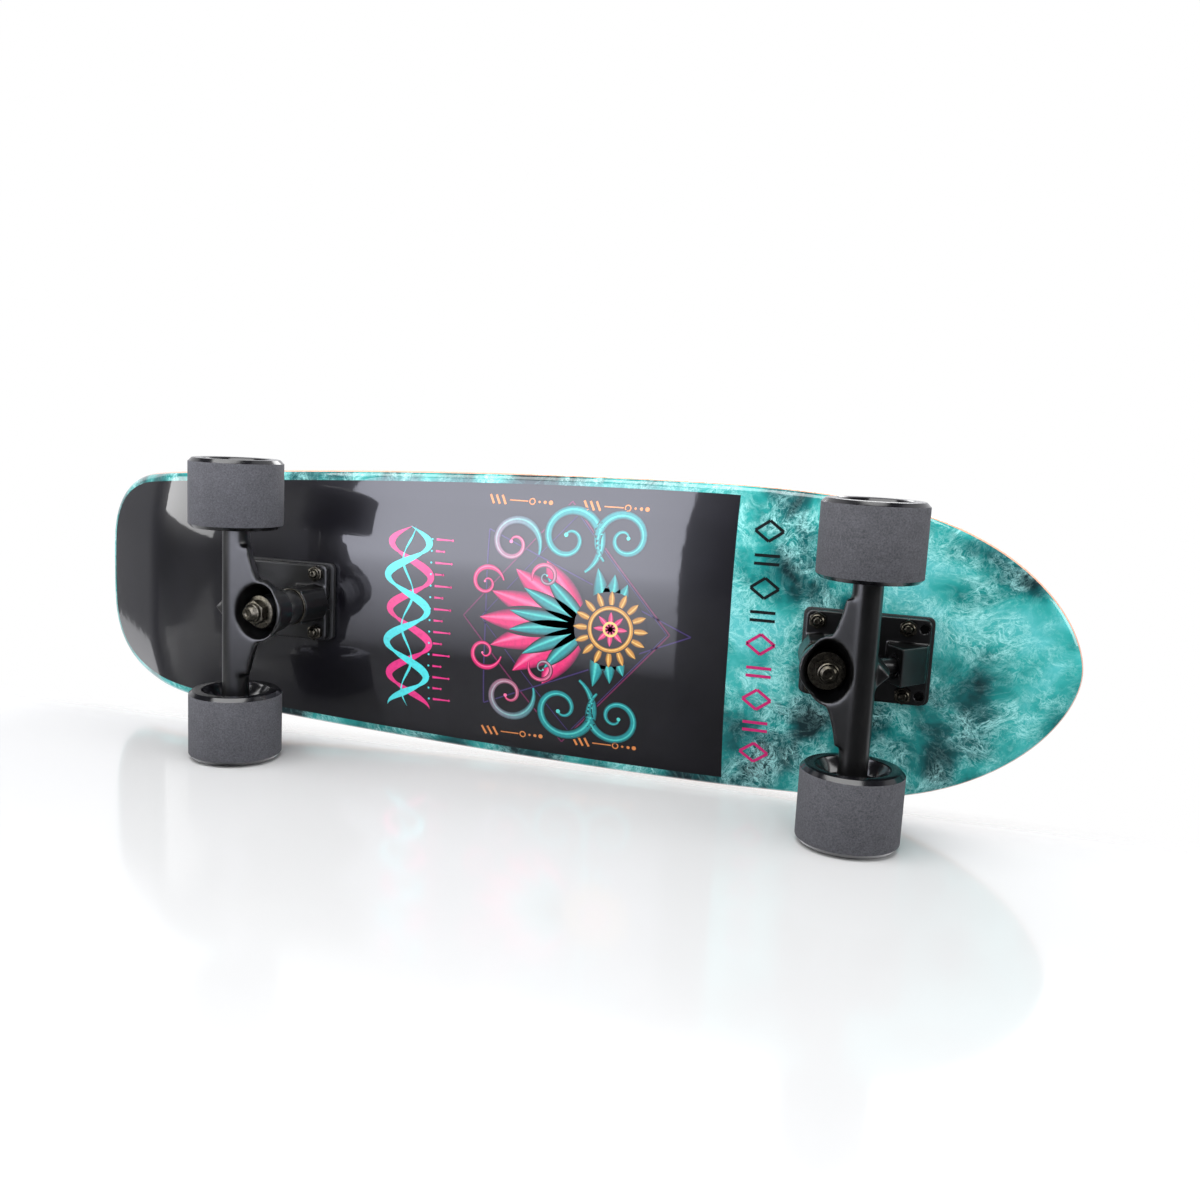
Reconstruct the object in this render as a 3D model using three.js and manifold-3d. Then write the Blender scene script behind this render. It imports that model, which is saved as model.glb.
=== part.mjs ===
// A cruiser skateboard standing on its wheels: a pressed seven-ply deck with one kicktail, and two
// kingpin trucks carrying four soft wheels. Millimetres, +Z up, +X towards the nose, +Y to the left.
// The ground is at Z = 0, and the middle of the deck's length is over the origin.
import * as THREE from "three";
import { mergeVertices } from "three/addons/utils/BufferGeometryUtils.js";
import Module from "manifold-3d";

const wasm = await Module();
wasm.setup();

// Gaps between pieces
const seatGap = 0.1; // flat faces that sit on each other
const boreGap = 0.25; // round pieces that pass through or into each other

// Deck, laid out from the middle of the wheelbase. Lengths past the kick follow the ply.
const noseReach = 328.5;
const tailLength = 415.5;
const tailEndHalfWidth = 9; // straight part of the tail's end
const tailRootHalfWidth = 80.2; // where the tail's corner has run into the rail
const deckHalfWidth = 100;
const widestAhead = 97; // the widest place, ahead of the middle
const deckThickness = 11;
const flatHalfWidth = 28; // flat strip along the middle
const concaveRise = 12;
const concaveFadeStart = 135; // the nose is flat, so the concave fades out towards it
const concaveFadeEnd = 270;
const kickStart = 265;
const kickRadius = 122;
const kickAngle = THREE.MathUtils.degToRad(32.5);
const gripThickness = 0.8;
const gripInset = 0.8;

// Truck mounting
const wheelbase = 405;
const riserThickness = 4;
const riserLength = 79;
const riserWidth = 54.5;
const boltSpacingLong = 54;
const boltSpacingWide = 41.3;
const oldPatternStep = 9.5; // extra pair of holes for the longer bolt pattern
const boltPatternShift = 3.1; // the pattern's middle, inboard of the axle
const boltRadius = 2.4;
const boltHeadRadius = 4.7;
const boltHeadHeight = 2.7;
const boltTipPastNut = 1.4;
const lockNutFlats = 9.5;
const lockNutHeight = 5.6;

// Baseplate
const plateLength = 75;
const plateWidth = 53;
const plateThickness = 6;
const plateCornerRadius = 4;
const housingHalfWidth = 11.5; // the pivot housing and the kingpin housing
const pivotHousingEnd = -36.3;
const pivotHousingStep = 4.5; // height of the housing's end above the flange
const pivotRidge = [-22, 27.6]; // inboard of the axle and above it
const kingpinHousingEnd = 36;
const kingpinSeatReach = [8, 10]; // the seat face beyond the pin, inboard and outboard
const housingSink = 1; // how far the housings run into the flange

// Truck geometry, seen from the axle: +X inboard, +Z up
const truckHeight = 57.8; // baseplate's top face to the axle
const hangerHalfLength = 63.5;
const tubeRadius = 8.75;
const kingpinTip = [16.8, -13];
const kingpinTilt = THREE.MathUtils.degToRad(10.3); // the nut's end leans to the axle
const steerSlope = THREE.MathUtils.degToRad(31.2); // steering axis above the horizontal

// Kingpin stack, from the tip of the thread upwards
const threadPastNut = 3.4;
const kingpinRadius = 4.75;
const kingpinNutFlats = 14.3;
const kingpinNutHeight = 7.6;
const cupWasherThickness = 1.5;
const roadWasherRadius = 11;
const boardWasherRadius = 12.5;
const roadBushingHeight = 9.8;
const roadBushingRadii = [8.2, 11]; // at the washer, at the hanger
const ringThickness = 5.5;
const boardBushingHeight = 12.6;
const boardBushingRadius = 12;
const kingpinUnderHead = 58;
const kingpinHeadHeight = 5.5;

// Hanger
const ringPlay = 2; // room round the kingpin for steering
const ringOuterRadius = 14.6;
const yokeTilt = THREE.MathUtils.degToRad(16.6);
const yokeRimStart = [4, -7.6]; // where the cup's rim meets the tube
const yokeThickness = 11;
const yokeHalfLength = 15; // cup's outside, along and across the board
const yokeHalfWidth = 20.8;
const yokeWall = 1.7;
const armReach = 43; // where the arms have run out into the tube
const washerRoom = 6; // sideways room for the washer while the hanger turns
const stemRadius = 5;
const stemMouthInset = 1.5; // ball's centre inside the mouth of its cup
const webTip = [-16.3, 20];
const webHalfWidth = 19;

// Pivot cup
const pivotCupWall = 1.1;

// Axle, wheels and bearings
const axleRadius = 4;
const axleHalfLength = 97.5;
const axleNutFlats = 12.7;
const axleNutHeight = 7.5;
const speedWasherThickness = 1;
const wheelRadius = 30;
const wheelWidth = 45;
const wheelLip = 2.4; // bevel between the tread and the side
const wheelRecessRadius = 21.5;
const wheelRecessDepth = 3.2;
const wheelShoulderRadius = 9.5;
const bearingRadius = 11;
const bearingWidth = 7;
const spacerLength = 10;
const spacerRadius = 5.6;

// Heights and places that follow from the sizes above
const axleHeight = wheelRadius;
const deckBottom = axleHeight + truckHeight + riserThickness;
const deckTop = deckBottom + deckThickness;
const gripTop = deckTop + seatGap + gripThickness;
const flangeBottom = truckHeight - plateThickness;
const bearingHalfSpan = spacerLength / 2 + bearingWidth;
const wheelCentre = hangerHalfLength + speedWasherThickness + bearingHalfSpan + seatGap;

// Levels along the kingpin
const nutLevel = threadPastNut;
const roadWasherLevel = nutLevel + kingpinNutHeight + seatGap;
const roadBushingLevel = roadWasherLevel + cupWasherThickness + seatGap;
const ringLevel = roadBushingLevel + roadBushingHeight + seatGap;
const boardBushingLevel = ringLevel + ringThickness + seatGap;
const boardWasherLevel = boardBushingLevel + boardBushingHeight + seatGap;
const seatLevel = boardWasherLevel + cupWasherThickness + seatGap;

const segments = { drilled: 8, small: 10, bearing: 16, wheel: 22 };

// ---- Helpers ----

// A closed mesh as a solid that can be joined and cut.
function solidOf(geometry) {
  const bare = geometry.clone();
  bare.deleteAttribute("normal");
  bare.deleteAttribute("uv");
  const merged = mergeVertices(bare, 1e-4);
  const vertProperties = new Float32Array(merged.attributes.position.array);
  const triVerts = new Uint32Array(merged.index.array);
  return new wasm.Manifold(new wasm.Mesh({ numProp: 3, vertProperties, triVerts }));
}

function geometryOf(solid) {
  const mesh = solid.getMesh();
  const geometry = new THREE.BufferGeometry();
  geometry.setAttribute("position", new THREE.BufferAttribute(mesh.vertProperties, 3));
  geometry.setIndex(new THREE.BufferAttribute(mesh.triVerts, 1));
  geometry.computeVertexNormals();
  return geometry;
}

// Turns a profile of [radius, height] points about +Z.
function turned(profile, count = segments.small) {
  const points = profile.map(([radius, height]) => new THREE.Vector2(radius, height));
  return new THREE.LatheGeometry(points, count).rotateX(Math.PI / 2);
}

function rod(radius, low, high, count = segments.small) {
  return turned([[0, low], [radius, low], [radius, high], [0, high]], count);
}

function ring(inner, outer, low, high, count = segments.small) {
  return turned([[inner, low], [outer, low], [outer, high], [inner, high], [inner, low]], count);
}

// Where the corners of a faceted hole lie, so that its flats clear a round pin of this radius.
function holeRadius(pinRadius, count = segments.small) {
  return (pinRadius + boreGap) / Math.cos(Math.PI / count);
}

// A shape drawn in X and Y, from one height to another.
function extruded(shape, low, high, curveSegments = segments.drilled / 2) {
  const options = { depth: high - low, bevelEnabled: false, curveSegments };
  return new THREE.ExtrudeGeometry(shape, options).translate(0, 0, low);
}

// A side profile drawn as [x, z] points, spread evenly to both sides of Y = 0.
function sideBlock(points, halfWidth) {
  const shape = new THREE.Shape(points.map(([x, z]) => new THREE.Vector2(x, z)));
  return extruded(shape, -halfWidth, halfWidth).rotateX(Math.PI / 2);
}

function hexagon(flats) {
  const corner = flats / Math.sqrt(3);
  const points = [];
  for (let i = 0; i < 6; i++) {
    const angle = (i * Math.PI) / 3;
    points.push(new THREE.Vector2(corner * Math.cos(angle), corner * Math.sin(angle)));
  }
  return new THREE.Shape(points);
}

function hexNut(flats, height, pinRadius) {
  const shape = hexagon(flats);
  const hole = new THREE.Path();
  hole.absarc(0, 0, holeRadius(pinRadius), 0, 2 * Math.PI, true);
  shape.holes.push(hole);
  return extruded(shape, 0, height, segments.small / 2);
}

function roundedRectangle(length, width, radius) {
  const x = length / 2 - radius;
  const y = width / 2 - radius;
  const shape = new THREE.Shape();
  shape.absarc(x, y, radius, 0, Math.PI / 2);
  shape.absarc(-x, y, radius, Math.PI / 2, Math.PI);
  shape.absarc(-x, -y, radius, Math.PI, 1.5 * Math.PI);
  shape.absarc(x, -y, radius, 1.5 * Math.PI, 2 * Math.PI);
  return shape;
}

const finishes = {
  maple: new THREE.MeshStandardMaterial({ color: 0x1c9c95, roughness: 0.25 }),
  grip: new THREE.MeshStandardMaterial({ color: 0x17171a, roughness: 0.95 }),
  riser: new THREE.MeshStandardMaterial({ color: 0x101012, roughness: 0.7 }),
  truck: new THREE.MeshStandardMaterial({ color: 0x1a1a1c, roughness: 0.45, metalness: 0.3 }),
  steel: new THREE.MeshStandardMaterial({ color: 0x55565a, roughness: 0.35, metalness: 1 }),
  bushing: new THREE.MeshStandardMaterial({ color: 0x151517, roughness: 0.5 }),
  wheel: new THREE.MeshStandardMaterial({ color: 0x5e5e64, roughness: 0.85 }),
  bearing: new THREE.MeshStandardMaterial({ color: 0x9a9ca2, roughness: 0.3, metalness: 1 }),
};

function addMesh(parent, name, geometry, material) {
  const mesh = new THREE.Mesh(geometry, material);
  mesh.name = name;
  parent.add(mesh);
  return mesh;
}

// ---- Deck and grip tape ----

// One side of the outline of the flat blank, from the tail's end to the tip of the nose.
function halfOutline(inset) {
  const tail = inset - tailLength;
  const nose = noseReach - inset;
  const wide = deckHalfWidth - inset;
  const root = tailRootHalfWidth - inset;
  const path = new THREE.Path();
  path.moveTo(tail, 0);
  path.lineTo(tail, tailEndHalfWidth);
  path.bezierCurveTo(tail, root - 23, tail + 23, root - 5, tail + 73, root);
  path.bezierCurveTo(tail + 128, root + 5, widestAhead - 180, wide, widestAhead, wide);
  path.bezierCurveTo(widestAhead + 50, wide, nose - 133, wide - 3, nose - 106, wide - 9.2);
  path.bezierCurveTo(nose - 28, wide - 27.2, nose, 25, nose, 0);
  return path.getPoints(6);
}

function outlineShape(inset) {
  const left = halfOutline(inset);
  const right = left.slice(1, -1).reverse();
  return new THREE.Shape([...left, ...right.map((p) => new THREE.Vector2(p.x, -p.y))]);
}

function concave(x, y) {
  const across = Math.max(0, Math.abs(y) - flatHalfWidth) / (deckHalfWidth - flatHalfWidth);
  const fade = 1 - THREE.MathUtils.smoothstep(x, concaveFadeStart, concaveFadeEnd);
  return concaveRise * fade * across ** 2;
}

// Bends a point of the flat blank up round the kick. Heights are above the underside.
function kicked(point) {
  const past = -kickStart - point.x;
  if (past <= 0) return point;
  const turn = Math.min(past / kickRadius, kickAngle);
  const straight = past - turn * kickRadius;
  const reach = kickRadius - point.z;
  const x = -kickStart - reach * Math.sin(turn) - straight * Math.cos(turn);
  const z = kickRadius - reach * Math.cos(turn) + straight * Math.sin(turn);
  return point.set(x, point.y, z);
}

function moveVertices(geometry, move) {
  const position = geometry.attributes.position;
  const point = new THREE.Vector3();
  for (let i = 0; i < position.count; i++) {
    move(point.fromBufferAttribute(position, i));
    position.setXYZ(i, point.x, point.y, point.z);
  }
  return geometry;
}

// A deep pressed block whose top face is at one height above the deck's underside. All such blocks
// share one pattern of facets, so the faces of neighbouring sheets stay parallel.
function pressedBlock(height) {
  const margin = 6;
  const depth = 30;
  const length = noseReach + tailLength + 2 * margin;
  const width = 2 * (deckHalfWidth + margin);
  const block = new THREE.BoxGeometry(length, width, height + depth, 26, 12, 1);
  block.translate((noseReach - tailLength) / 2, 0, (height - depth) / 2);
  moveVertices(block, (point) => {
    point.z += concave(point.x, point.y);
    kicked(point);
  });
  return solidOf(block);
}

// A pressed sheet between two heights above the deck's underside, cut to the outline.
function pressedSheet(low, high, inset) {
  const cutter = extruded(outlineShape(inset), -kickRadius, kickRadius / 2);
  moveVertices(cutter, kicked);
  const sheet = pressedBlock(high).subtract(pressedBlock(low));
  return sheet.intersect(solidOf(cutter));
}

// Where each truck's axle is, and which way it turns the truck's own frame.
const ends = [
  { name: "front", x: wheelbase / 2, turn: Math.PI, facing: -1 },
  { name: "rear", x: -wheelbase / 2, turn: 0, facing: 1 },
];

const boltRows = [
  { name: "inner", x: boltPatternShift + boltSpacingLong / 2 },
  { name: "outer", x: boltPatternShift - boltSpacingLong / 2 },
];

const sides = [
  { name: "left", y: 1 },
  { name: "right", y: -1 },
];

const gripLow = deckThickness + seatGap;
const gripHigh = gripLow + gripThickness;

// The bolt's countersunk hole, with its top at the grip tape's face.
function boltHole(x, y) {
  const depth = gripHigh + 10;
  const profile = [
    [0, -depth],
    [holeRadius(boltRadius), -depth],
    [holeRadius(boltRadius), -boltHeadHeight],
    [holeRadius(boltHeadRadius), 0],
    [holeRadius(boltHeadRadius), boltHeadHeight],
    [0, boltHeadHeight],
  ];
  return solidOf(turned(profile).translate(x, y, gripHigh));
}

function drilled(solid) {
  let result = solid;
  for (const end of ends) {
    for (const row of boltRows) {
      for (const side of sides) {
        const y = (side.y * boltSpacingWide) / 2;
        result = result.subtract(boltHole(end.x + end.facing * row.x, y));
      }
    }
  }
  return geometryOf(result);
}

function addDeck(board) {
  const pressing = new THREE.Group();
  pressing.position.z = deckBottom;
  addMesh(pressing, "deck", drilled(pressedSheet(0, deckThickness, 0)), finishes.maple);
  addMesh(pressing, "grip_tape", drilled(pressedSheet(gripLow, gripHigh, gripInset)), finishes.grip);
  board.add(pressing);
}

// ---- Riser pad, bolts and lock nuts ----

function withBoltHoles(shape, extraPair) {
  const rows = boltRows.map((row) => row.x);
  if (extraPair) rows.push(Math.min(...rows) - oldPatternStep);
  for (const x of rows) {
    for (const side of sides) {
      const hole = new THREE.Path();
      const y = (side.y * boltSpacingWide) / 2;
      hole.absarc(x, y, holeRadius(boltRadius, segments.drilled), 0, 2 * Math.PI, true);
      shape.holes.push(hole);
    }
  }
  return shape;
}

function riserGeometry() {
  const shape = withBoltHoles(roundedRectangle(riserLength, riserWidth, plateCornerRadius), false);
  const low = truckHeight + seatGap;
  return extruded(shape, low, truckHeight + riserThickness - seatGap);
}

function addFasteners(truck, end) {
  const nutTop = flangeBottom - seatGap;
  const boltTop = gripTop - axleHeight;
  const boltTip = nutTop - lockNutHeight - boltTipPastNut;
  const profile = [
    [0, boltTip],
    [boltRadius, boltTip],
    [boltRadius, boltTop - boltHeadHeight],
    [boltHeadRadius, boltTop],
    [0, boltTop],
  ];
  for (const row of boltRows) {
    for (const side of sides) {
      const y = (end.facing * side.y * boltSpacingWide) / 2;
      const place = `${end.name}_${row.name}_${side.name}`;
      const bolt = addMesh(truck, `deck_bolt_${place}`, turned(profile), finishes.steel);
      bolt.position.set(row.x, y, 0);
      const nutShape = hexNut(lockNutFlats, lockNutHeight, boltRadius);
      const nut = addMesh(truck, `lock_nut_${place}`, nutShape, finishes.steel);
      nut.position.set(row.x, y, nutTop - lockNutHeight);
    }
  }
}

// ---- Steering axis and kingpin ----

// The kingpin's own frame: its origin at the tip of the thread, +Z up along the pin.
const kingpinFrame = new THREE.Matrix4()
  .makeRotationY(kingpinTilt)
  .setPosition(kingpinTip[0], 0, kingpinTip[1]);

const ringCentre = new THREE.Vector3(0, 0, ringLevel + ringThickness / 2).applyMatrix4(kingpinFrame);
const ridge = new THREE.Vector3(pivotRidge[0], 0, pivotRidge[1]);

// The pivot's own frame: +Z along the steering axis to the pivot, its origin in the pivot cup's mouth.
const steerDirection = new THREE.Vector3(-Math.cos(steerSlope), 0, Math.sin(steerSlope));
const mouthDistance = ridge.clone().sub(ringCentre).dot(steerDirection);
const mouthCentre = ringCentre.clone().addScaledVector(steerDirection, mouthDistance);
const pivotFrame = new THREE.Matrix4()
  .makeRotationY(steerSlope - Math.PI / 2)
  .setPosition(mouthCentre);

function addKingpinStack(truck, end) {
  const stack = new THREE.Group();
  stack.applyMatrix4(kingpinFrame);
  truck.add(stack);
  const inner = holeRadius(kingpinRadius, segments.bearing);

  const headTop = kingpinUnderHead + kingpinHeadHeight;
  const head = solidOf(extruded(hexagon(kingpinNutFlats), kingpinUnderHead, headTop));
  const pin = solidOf(rod(kingpinRadius, 0, kingpinUnderHead + 1)).add(head);
  addMesh(stack, `kingpin_${end.name}`, geometryOf(pin), finishes.steel);

  const nut = hexNut(kingpinNutFlats, kingpinNutHeight, kingpinRadius);
  addMesh(stack, `kingpin_nut_${end.name}`, nut, finishes.steel).position.z = nutLevel;

  const small = ring(inner, roadWasherRadius, 0, cupWasherThickness, segments.bearing);
  addMesh(stack, `road_washer_${end.name}`, small, finishes.steel).position.z = roadWasherLevel;

  const wide = ring(inner, boardWasherRadius, 0, cupWasherThickness, segments.bearing);
  addMesh(stack, `board_washer_${end.name}`, wide, finishes.steel).position.z = boardWasherLevel;

  const [narrowEnd, wideEnd] = roadBushingRadii;
  const section = [
    [inner, 0],
    [narrowEnd, 0],
    [wideEnd, roadBushingHeight],
    [inner, roadBushingHeight],
    [inner, 0],
  ];
  const cone = turned(section, segments.bearing);
  addMesh(stack, `road_bushing_${end.name}`, cone, finishes.bushing).position.z = roadBushingLevel;

  const barrel = ring(inner, boardBushingRadius, 0, boardBushingHeight, segments.bearing);
  const boardBushing = addMesh(stack, `board_bushing_${end.name}`, barrel, finishes.bushing);
  boardBushing.position.z = boardBushingLevel;
}

// ---- Pivot cup ----

const pivotCavityRadius = holeRadius(stemRadius, segments.bearing);
const pivotCupRadius = pivotCavityRadius + pivotCupWall;

// The cup's cavity or its outside: a tube from the mouth that ends in a half ball.
function pivotBulb(radius, mouth) {
  const profile = [[0, mouth], [radius, mouth]];
  for (let i = 0; i <= 4; i++) {
    const angle = (i * Math.PI) / 8;
    const height = stemMouthInset + radius * Math.sin(angle);
    profile.push([i === 4 ? 0 : radius * Math.cos(angle), height]);
  }
  return turned(profile, segments.bearing);
}

function pivotCupGeometry() {
  const outside = solidOf(pivotBulb(pivotCupRadius, 0));
  return geometryOf(outside.subtract(solidOf(pivotBulb(pivotCavityRadius, -1))));
}

// ---- Baseplate ----

function baseplateGeometry() {
  const rootLevel = flangeBottom + housingSink;
  const outline = withBoltHoles(roundedRectangle(plateLength, plateWidth, plateCornerRadius), true);
  let plate = solidOf(extruded(outline, flangeBottom, truckHeight));

  const mouthUp = new THREE.Vector3(mouthCentre.x * 2 - ridge.x, 0, mouthCentre.z * 2 - ridge.z);
  const pivotSide = [
    [pivotHousingEnd, rootLevel],
    [pivotHousingEnd, flangeBottom - pivotHousingStep],
    [ridge.x, ridge.z],
    [mouthUp.x, mouthUp.z],
    [mouthUp.x, rootLevel],
  ];
  plate = plate.add(solidOf(sideBlock(pivotSide, housingHalfWidth)));

  const seatCentre = new THREE.Vector3(0, 0, seatLevel).applyMatrix4(kingpinFrame);
  const [inboard, outboard] = kingpinSeatReach;
  const seatInboard = new THREE.Vector3(inboard, 0, seatLevel).applyMatrix4(kingpinFrame);
  const seatOutboard = new THREE.Vector3(-outboard, 0, seatLevel).applyMatrix4(kingpinFrame);
  const kingpinSide = [
    [seatOutboard.x, rootLevel],
    [seatOutboard.x, seatOutboard.z],
    [seatInboard.x, seatInboard.z],
    [kingpinHousingEnd, rootLevel],
  ];
  plate = plate.add(solidOf(sideBlock(kingpinSide, housingHalfWidth)));
  const bossTop = seatLevel + flangeBottom - seatCentre.z;
  const boss = rod(boardWasherRadius, seatLevel, bossTop, segments.bearing);
  plate = plate.add(solidOf(boss.applyMatrix4(kingpinFrame)));

  const bore = rod(holeRadius(kingpinRadius), 0, kingpinUnderHead + 1).applyMatrix4(kingpinFrame);
  plate = plate.subtract(solidOf(bore));
  const pocketRadius = holeRadius(kingpinNutFlats / Math.sqrt(3));
  const pocket = rod(pocketRadius, kingpinUnderHead - seatGap, kingpinUnderHead + truckHeight);
  plate = plate.subtract(solidOf(pocket.applyMatrix4(kingpinFrame)));
  const cupSeat = pivotBulb(pivotCupRadius + boreGap, -3);
  plate = plate.subtract(solidOf(cupSeat.applyMatrix4(pivotFrame)));
  return geometryOf(plate);
}

// ---- Hanger ----

// The cup's outline with the arms that run out into the tube, in the rim's own plane.
function yokeShape(centre) {
  const arm = 0.9 * tubeRadius;
  const shape = new THREE.Shape();
  shape.moveTo(-arm / 2, -armReach);
  shape.lineTo(arm, -armReach);
  shape.quadraticCurveTo(arm + 3, -yokeHalfWidth - 6, centre, -yokeHalfWidth);
  shape.absellipse(centre, 0, yokeHalfLength, yokeHalfWidth, -Math.PI / 2, Math.PI / 2, false, 0);
  shape.quadraticCurveTo(arm + 3, yokeHalfWidth + 6, arm, armReach);
  shape.lineTo(-arm / 2, armReach);
  return shape;
}

function yokeSolid() {
  const slope = new THREE.Matrix4().makeRotationY(-yokeTilt);
  slope.setPosition(yokeRimStart[0], 0, yokeRimStart[1]);
  const centre = yokeHalfLength - 0.5;
  const plate = extruded(yokeShape(centre), 0, yokeThickness, 6);
  plate.applyMatrix4(slope);
  const collar = turned(
    [
      [0, roadBushingLevel],
      [ringOuterRadius + 1.5, roadBushingLevel],
      [ringOuterRadius, ringLevel + ringThickness],
      [0, ringLevel + ringThickness],
    ],
    segments.bearing,
  );
  return solidOf(plate).add(solidOf(collar.applyMatrix4(kingpinFrame)));
}

// The stem that turns in the pivot cup, and the web that carries it from the tube.
function stemSolid() {
  const start = -mouthDistance + ringOuterRadius - 2;
  const profile = [[0, start], [stemRadius, start]];
  for (let i = 0; i <= 4; i++) {
    const angle = (i * Math.PI) / 8;
    const height = stemMouthInset + stemRadius * Math.sin(angle);
    profile.push([i === 4 ? 0 : stemRadius * Math.cos(angle), height]);
  }
  const stem = turned(profile, segments.bearing).applyMatrix4(pivotFrame);
  const shape = new THREE.Shape();
  shape.moveTo(tubeRadius, -webHalfWidth);
  shape.lineTo(tubeRadius, webHalfWidth);
  shape.lineTo(0, webHalfWidth);
  shape.quadraticCurveTo(-tubeRadius - 1, stemRadius + 1, webTip[0], 0);
  shape.quadraticCurveTo(-tubeRadius - 1, -stemRadius - 1, 0, -webHalfWidth);
  const web = extruded(shape, 0, webTip[1]);
  return solidOf(stem).add(solidOf(web));
}

// The bowl that the road side bushing sits in, open at the rim and wider across the board.
function bowlSolid() {
  const across = yokeHalfWidth - yokeWall;
  const wide = [
    [0, -10],
    [across, -10],
    [across, threadPastNut],
    [roadWasherRadius + washerRoom + 1, roadWasherLevel + cupWasherThickness],
    [roadBushingRadii[1] + 1, ringLevel],
    [0, ringLevel],
  ];
  const bowl = turned(wide, segments.wheel);
  bowl.scale((yokeHalfLength - yokeWall) / across, 1, 1);
  const well = rod(roadBushingRadii[1] + 0.8, -10, ringLevel, segments.wheel);
  return solidOf(bowl).add(solidOf(well));
}

function hangerGeometry() {
  const tube = rod(tubeRadius, -hangerHalfLength, hangerHalfLength, segments.wheel);
  tube.rotateX(Math.PI / 2);
  let hanger = solidOf(tube).add(yokeSolid()).add(stemSolid());

  const place = (solid) => solidOf(geometryOf(solid).applyMatrix4(kingpinFrame));
  hanger = hanger.subtract(place(bowlSolid()));
  const ringTop = ringLevel + ringThickness;
  const bushingRoom = rod(boardBushingRadius + 1, ringTop, ringTop + 40, segments.wheel);
  hanger = hanger.subtract(place(solidOf(bushingRoom)));
  const hole = rod(kingpinRadius + ringPlay, 0, ringTop + 1, segments.bearing);
  hanger = hanger.subtract(place(solidOf(hole)));
  const axleBore = rod(holeRadius(axleRadius), -hangerHalfLength - 1, hangerHalfLength + 1);
  hanger = hanger.subtract(solidOf(axleBore.rotateX(Math.PI / 2)));
  return geometryOf(hanger);
}

// ---- Axle, wheels and bearings ----

// The wheel's section on one side of its middle plane: [radius, distance from the middle].
function wheelProfile() {
  const face = wheelWidth / 2;
  const seat = holeRadius(bearingRadius, segments.wheel);
  const tread = wheelRadius / Math.cos(Math.PI / segments.wheel); // flats lie on the true radius
  const half = [
    [wheelShoulderRadius, spacerLength / 2 - seatGap],
    [seat, spacerLength / 2 - seatGap],
    [seat, bearingHalfSpan + seatGap],
    [wheelRecessRadius - 1, face - wheelRecessDepth],
    [wheelRecessRadius, face],
    [tread - wheelLip, face],
    [tread, face - wheelLip],
  ];
  const other = half.map(([radius, along]) => [radius, -along]);
  return [...other, ...half.reverse()];
}

// One flat of the tread faces the ground.
function wheelGeometry() {
  const profile = wheelProfile();
  const closed = turned([...profile, profile[0]], segments.wheel);
  return closed.rotateZ(Math.PI / segments.wheel).rotateX(Math.PI / 2);
}

function addWheelSet(truck, end, side) {
  const place = `${end.name}_${side.name}`;
  const outward = end.facing * side.y;
  const set = new THREE.Group();
  set.position.y = outward * wheelCentre;
  truck.add(set);
  addMesh(set, `wheel_${place}`, wheelGeometry(), finishes.wheel);

  const bore = holeRadius(axleRadius, segments.bearing);
  for (const [name, direction] of [["inner", -outward], ["outer", outward]]) {
    const width = bearingWidth - 2 * seatGap;
    const race = ring(bore, bearingRadius, -width / 2, width / 2, segments.bearing);
    const bearing = addMesh(set, `bearing_${place}_${name}`, race.rotateX(Math.PI / 2), finishes.bearing);
    bearing.position.y = (direction * (spacerLength + bearingWidth)) / 2;
  }

  const spacerHalf = spacerLength / 2 - seatGap;
  const spacer = ring(holeRadius(axleRadius), spacerRadius, -spacerHalf, spacerHalf);
  addMesh(set, `bearing_spacer_${place}`, spacer.rotateX(Math.PI / 2), finishes.steel);

  const nut = hexNut(axleNutFlats, axleNutHeight, axleRadius);
  const nutMesh = addMesh(set, `axle_nut_${place}`, nut, finishes.steel);
  nutMesh.rotation.x = (-outward * Math.PI) / 2;
  nutMesh.position.y = outward * (bearingHalfSpan + speedWasherThickness + seatGap);
}

function addAxle(truck, end) {
  const chamfer = 0.8;
  const profile = [
    [0, -axleHalfLength],
    [axleRadius - chamfer, -axleHalfLength],
    [axleRadius, chamfer - axleHalfLength],
    [axleRadius, axleHalfLength - chamfer],
    [axleRadius - chamfer, axleHalfLength],
    [0, axleHalfLength],
  ];
  addMesh(truck, `axle_${end.name}`, turned(profile).rotateX(Math.PI / 2), finishes.steel);
}

// ---- Assembly ----

function addTruck(board, end) {
  const truck = new THREE.Group();
  truck.position.set(end.x, 0, axleHeight);
  truck.rotation.z = end.turn;
  board.add(truck);
  addMesh(truck, `riser_pad_${end.name}`, riserGeometry(), finishes.riser);
  addMesh(truck, `baseplate_${end.name}`, baseplateGeometry(), finishes.truck);
  const cup = addMesh(truck, `pivot_cup_${end.name}`, pivotCupGeometry(), finishes.bushing);
  cup.applyMatrix4(pivotFrame);
  addKingpinStack(truck, end);
  addMesh(truck, `hanger_${end.name}`, hangerGeometry(), finishes.truck);
  addAxle(truck, end);
  for (const side of sides) addWheelSet(truck, end, side);
  addFasteners(truck, end);
}

const board = new THREE.Group();
addDeck(board);
for (const end of ends) addTruck(board, end);

// The origin is on the ground under the middle of the whole length.
const box = new THREE.Box3().setFromObject(board, true);
board.position.x = -(box.min.x + box.max.x) / 2;

export default board;
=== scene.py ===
# Cruiser skateboard: a pressed seven-ply deck with one kicktail, two kingpin trucks, four soft wheels.
# Lengths in the setting dictionaries are millimetres, and everything is built in metres.
import math
import bmesh
import bpy
from mathutils import Matrix, Vector
from mathutils.geometry import interpolate_bezier


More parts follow.
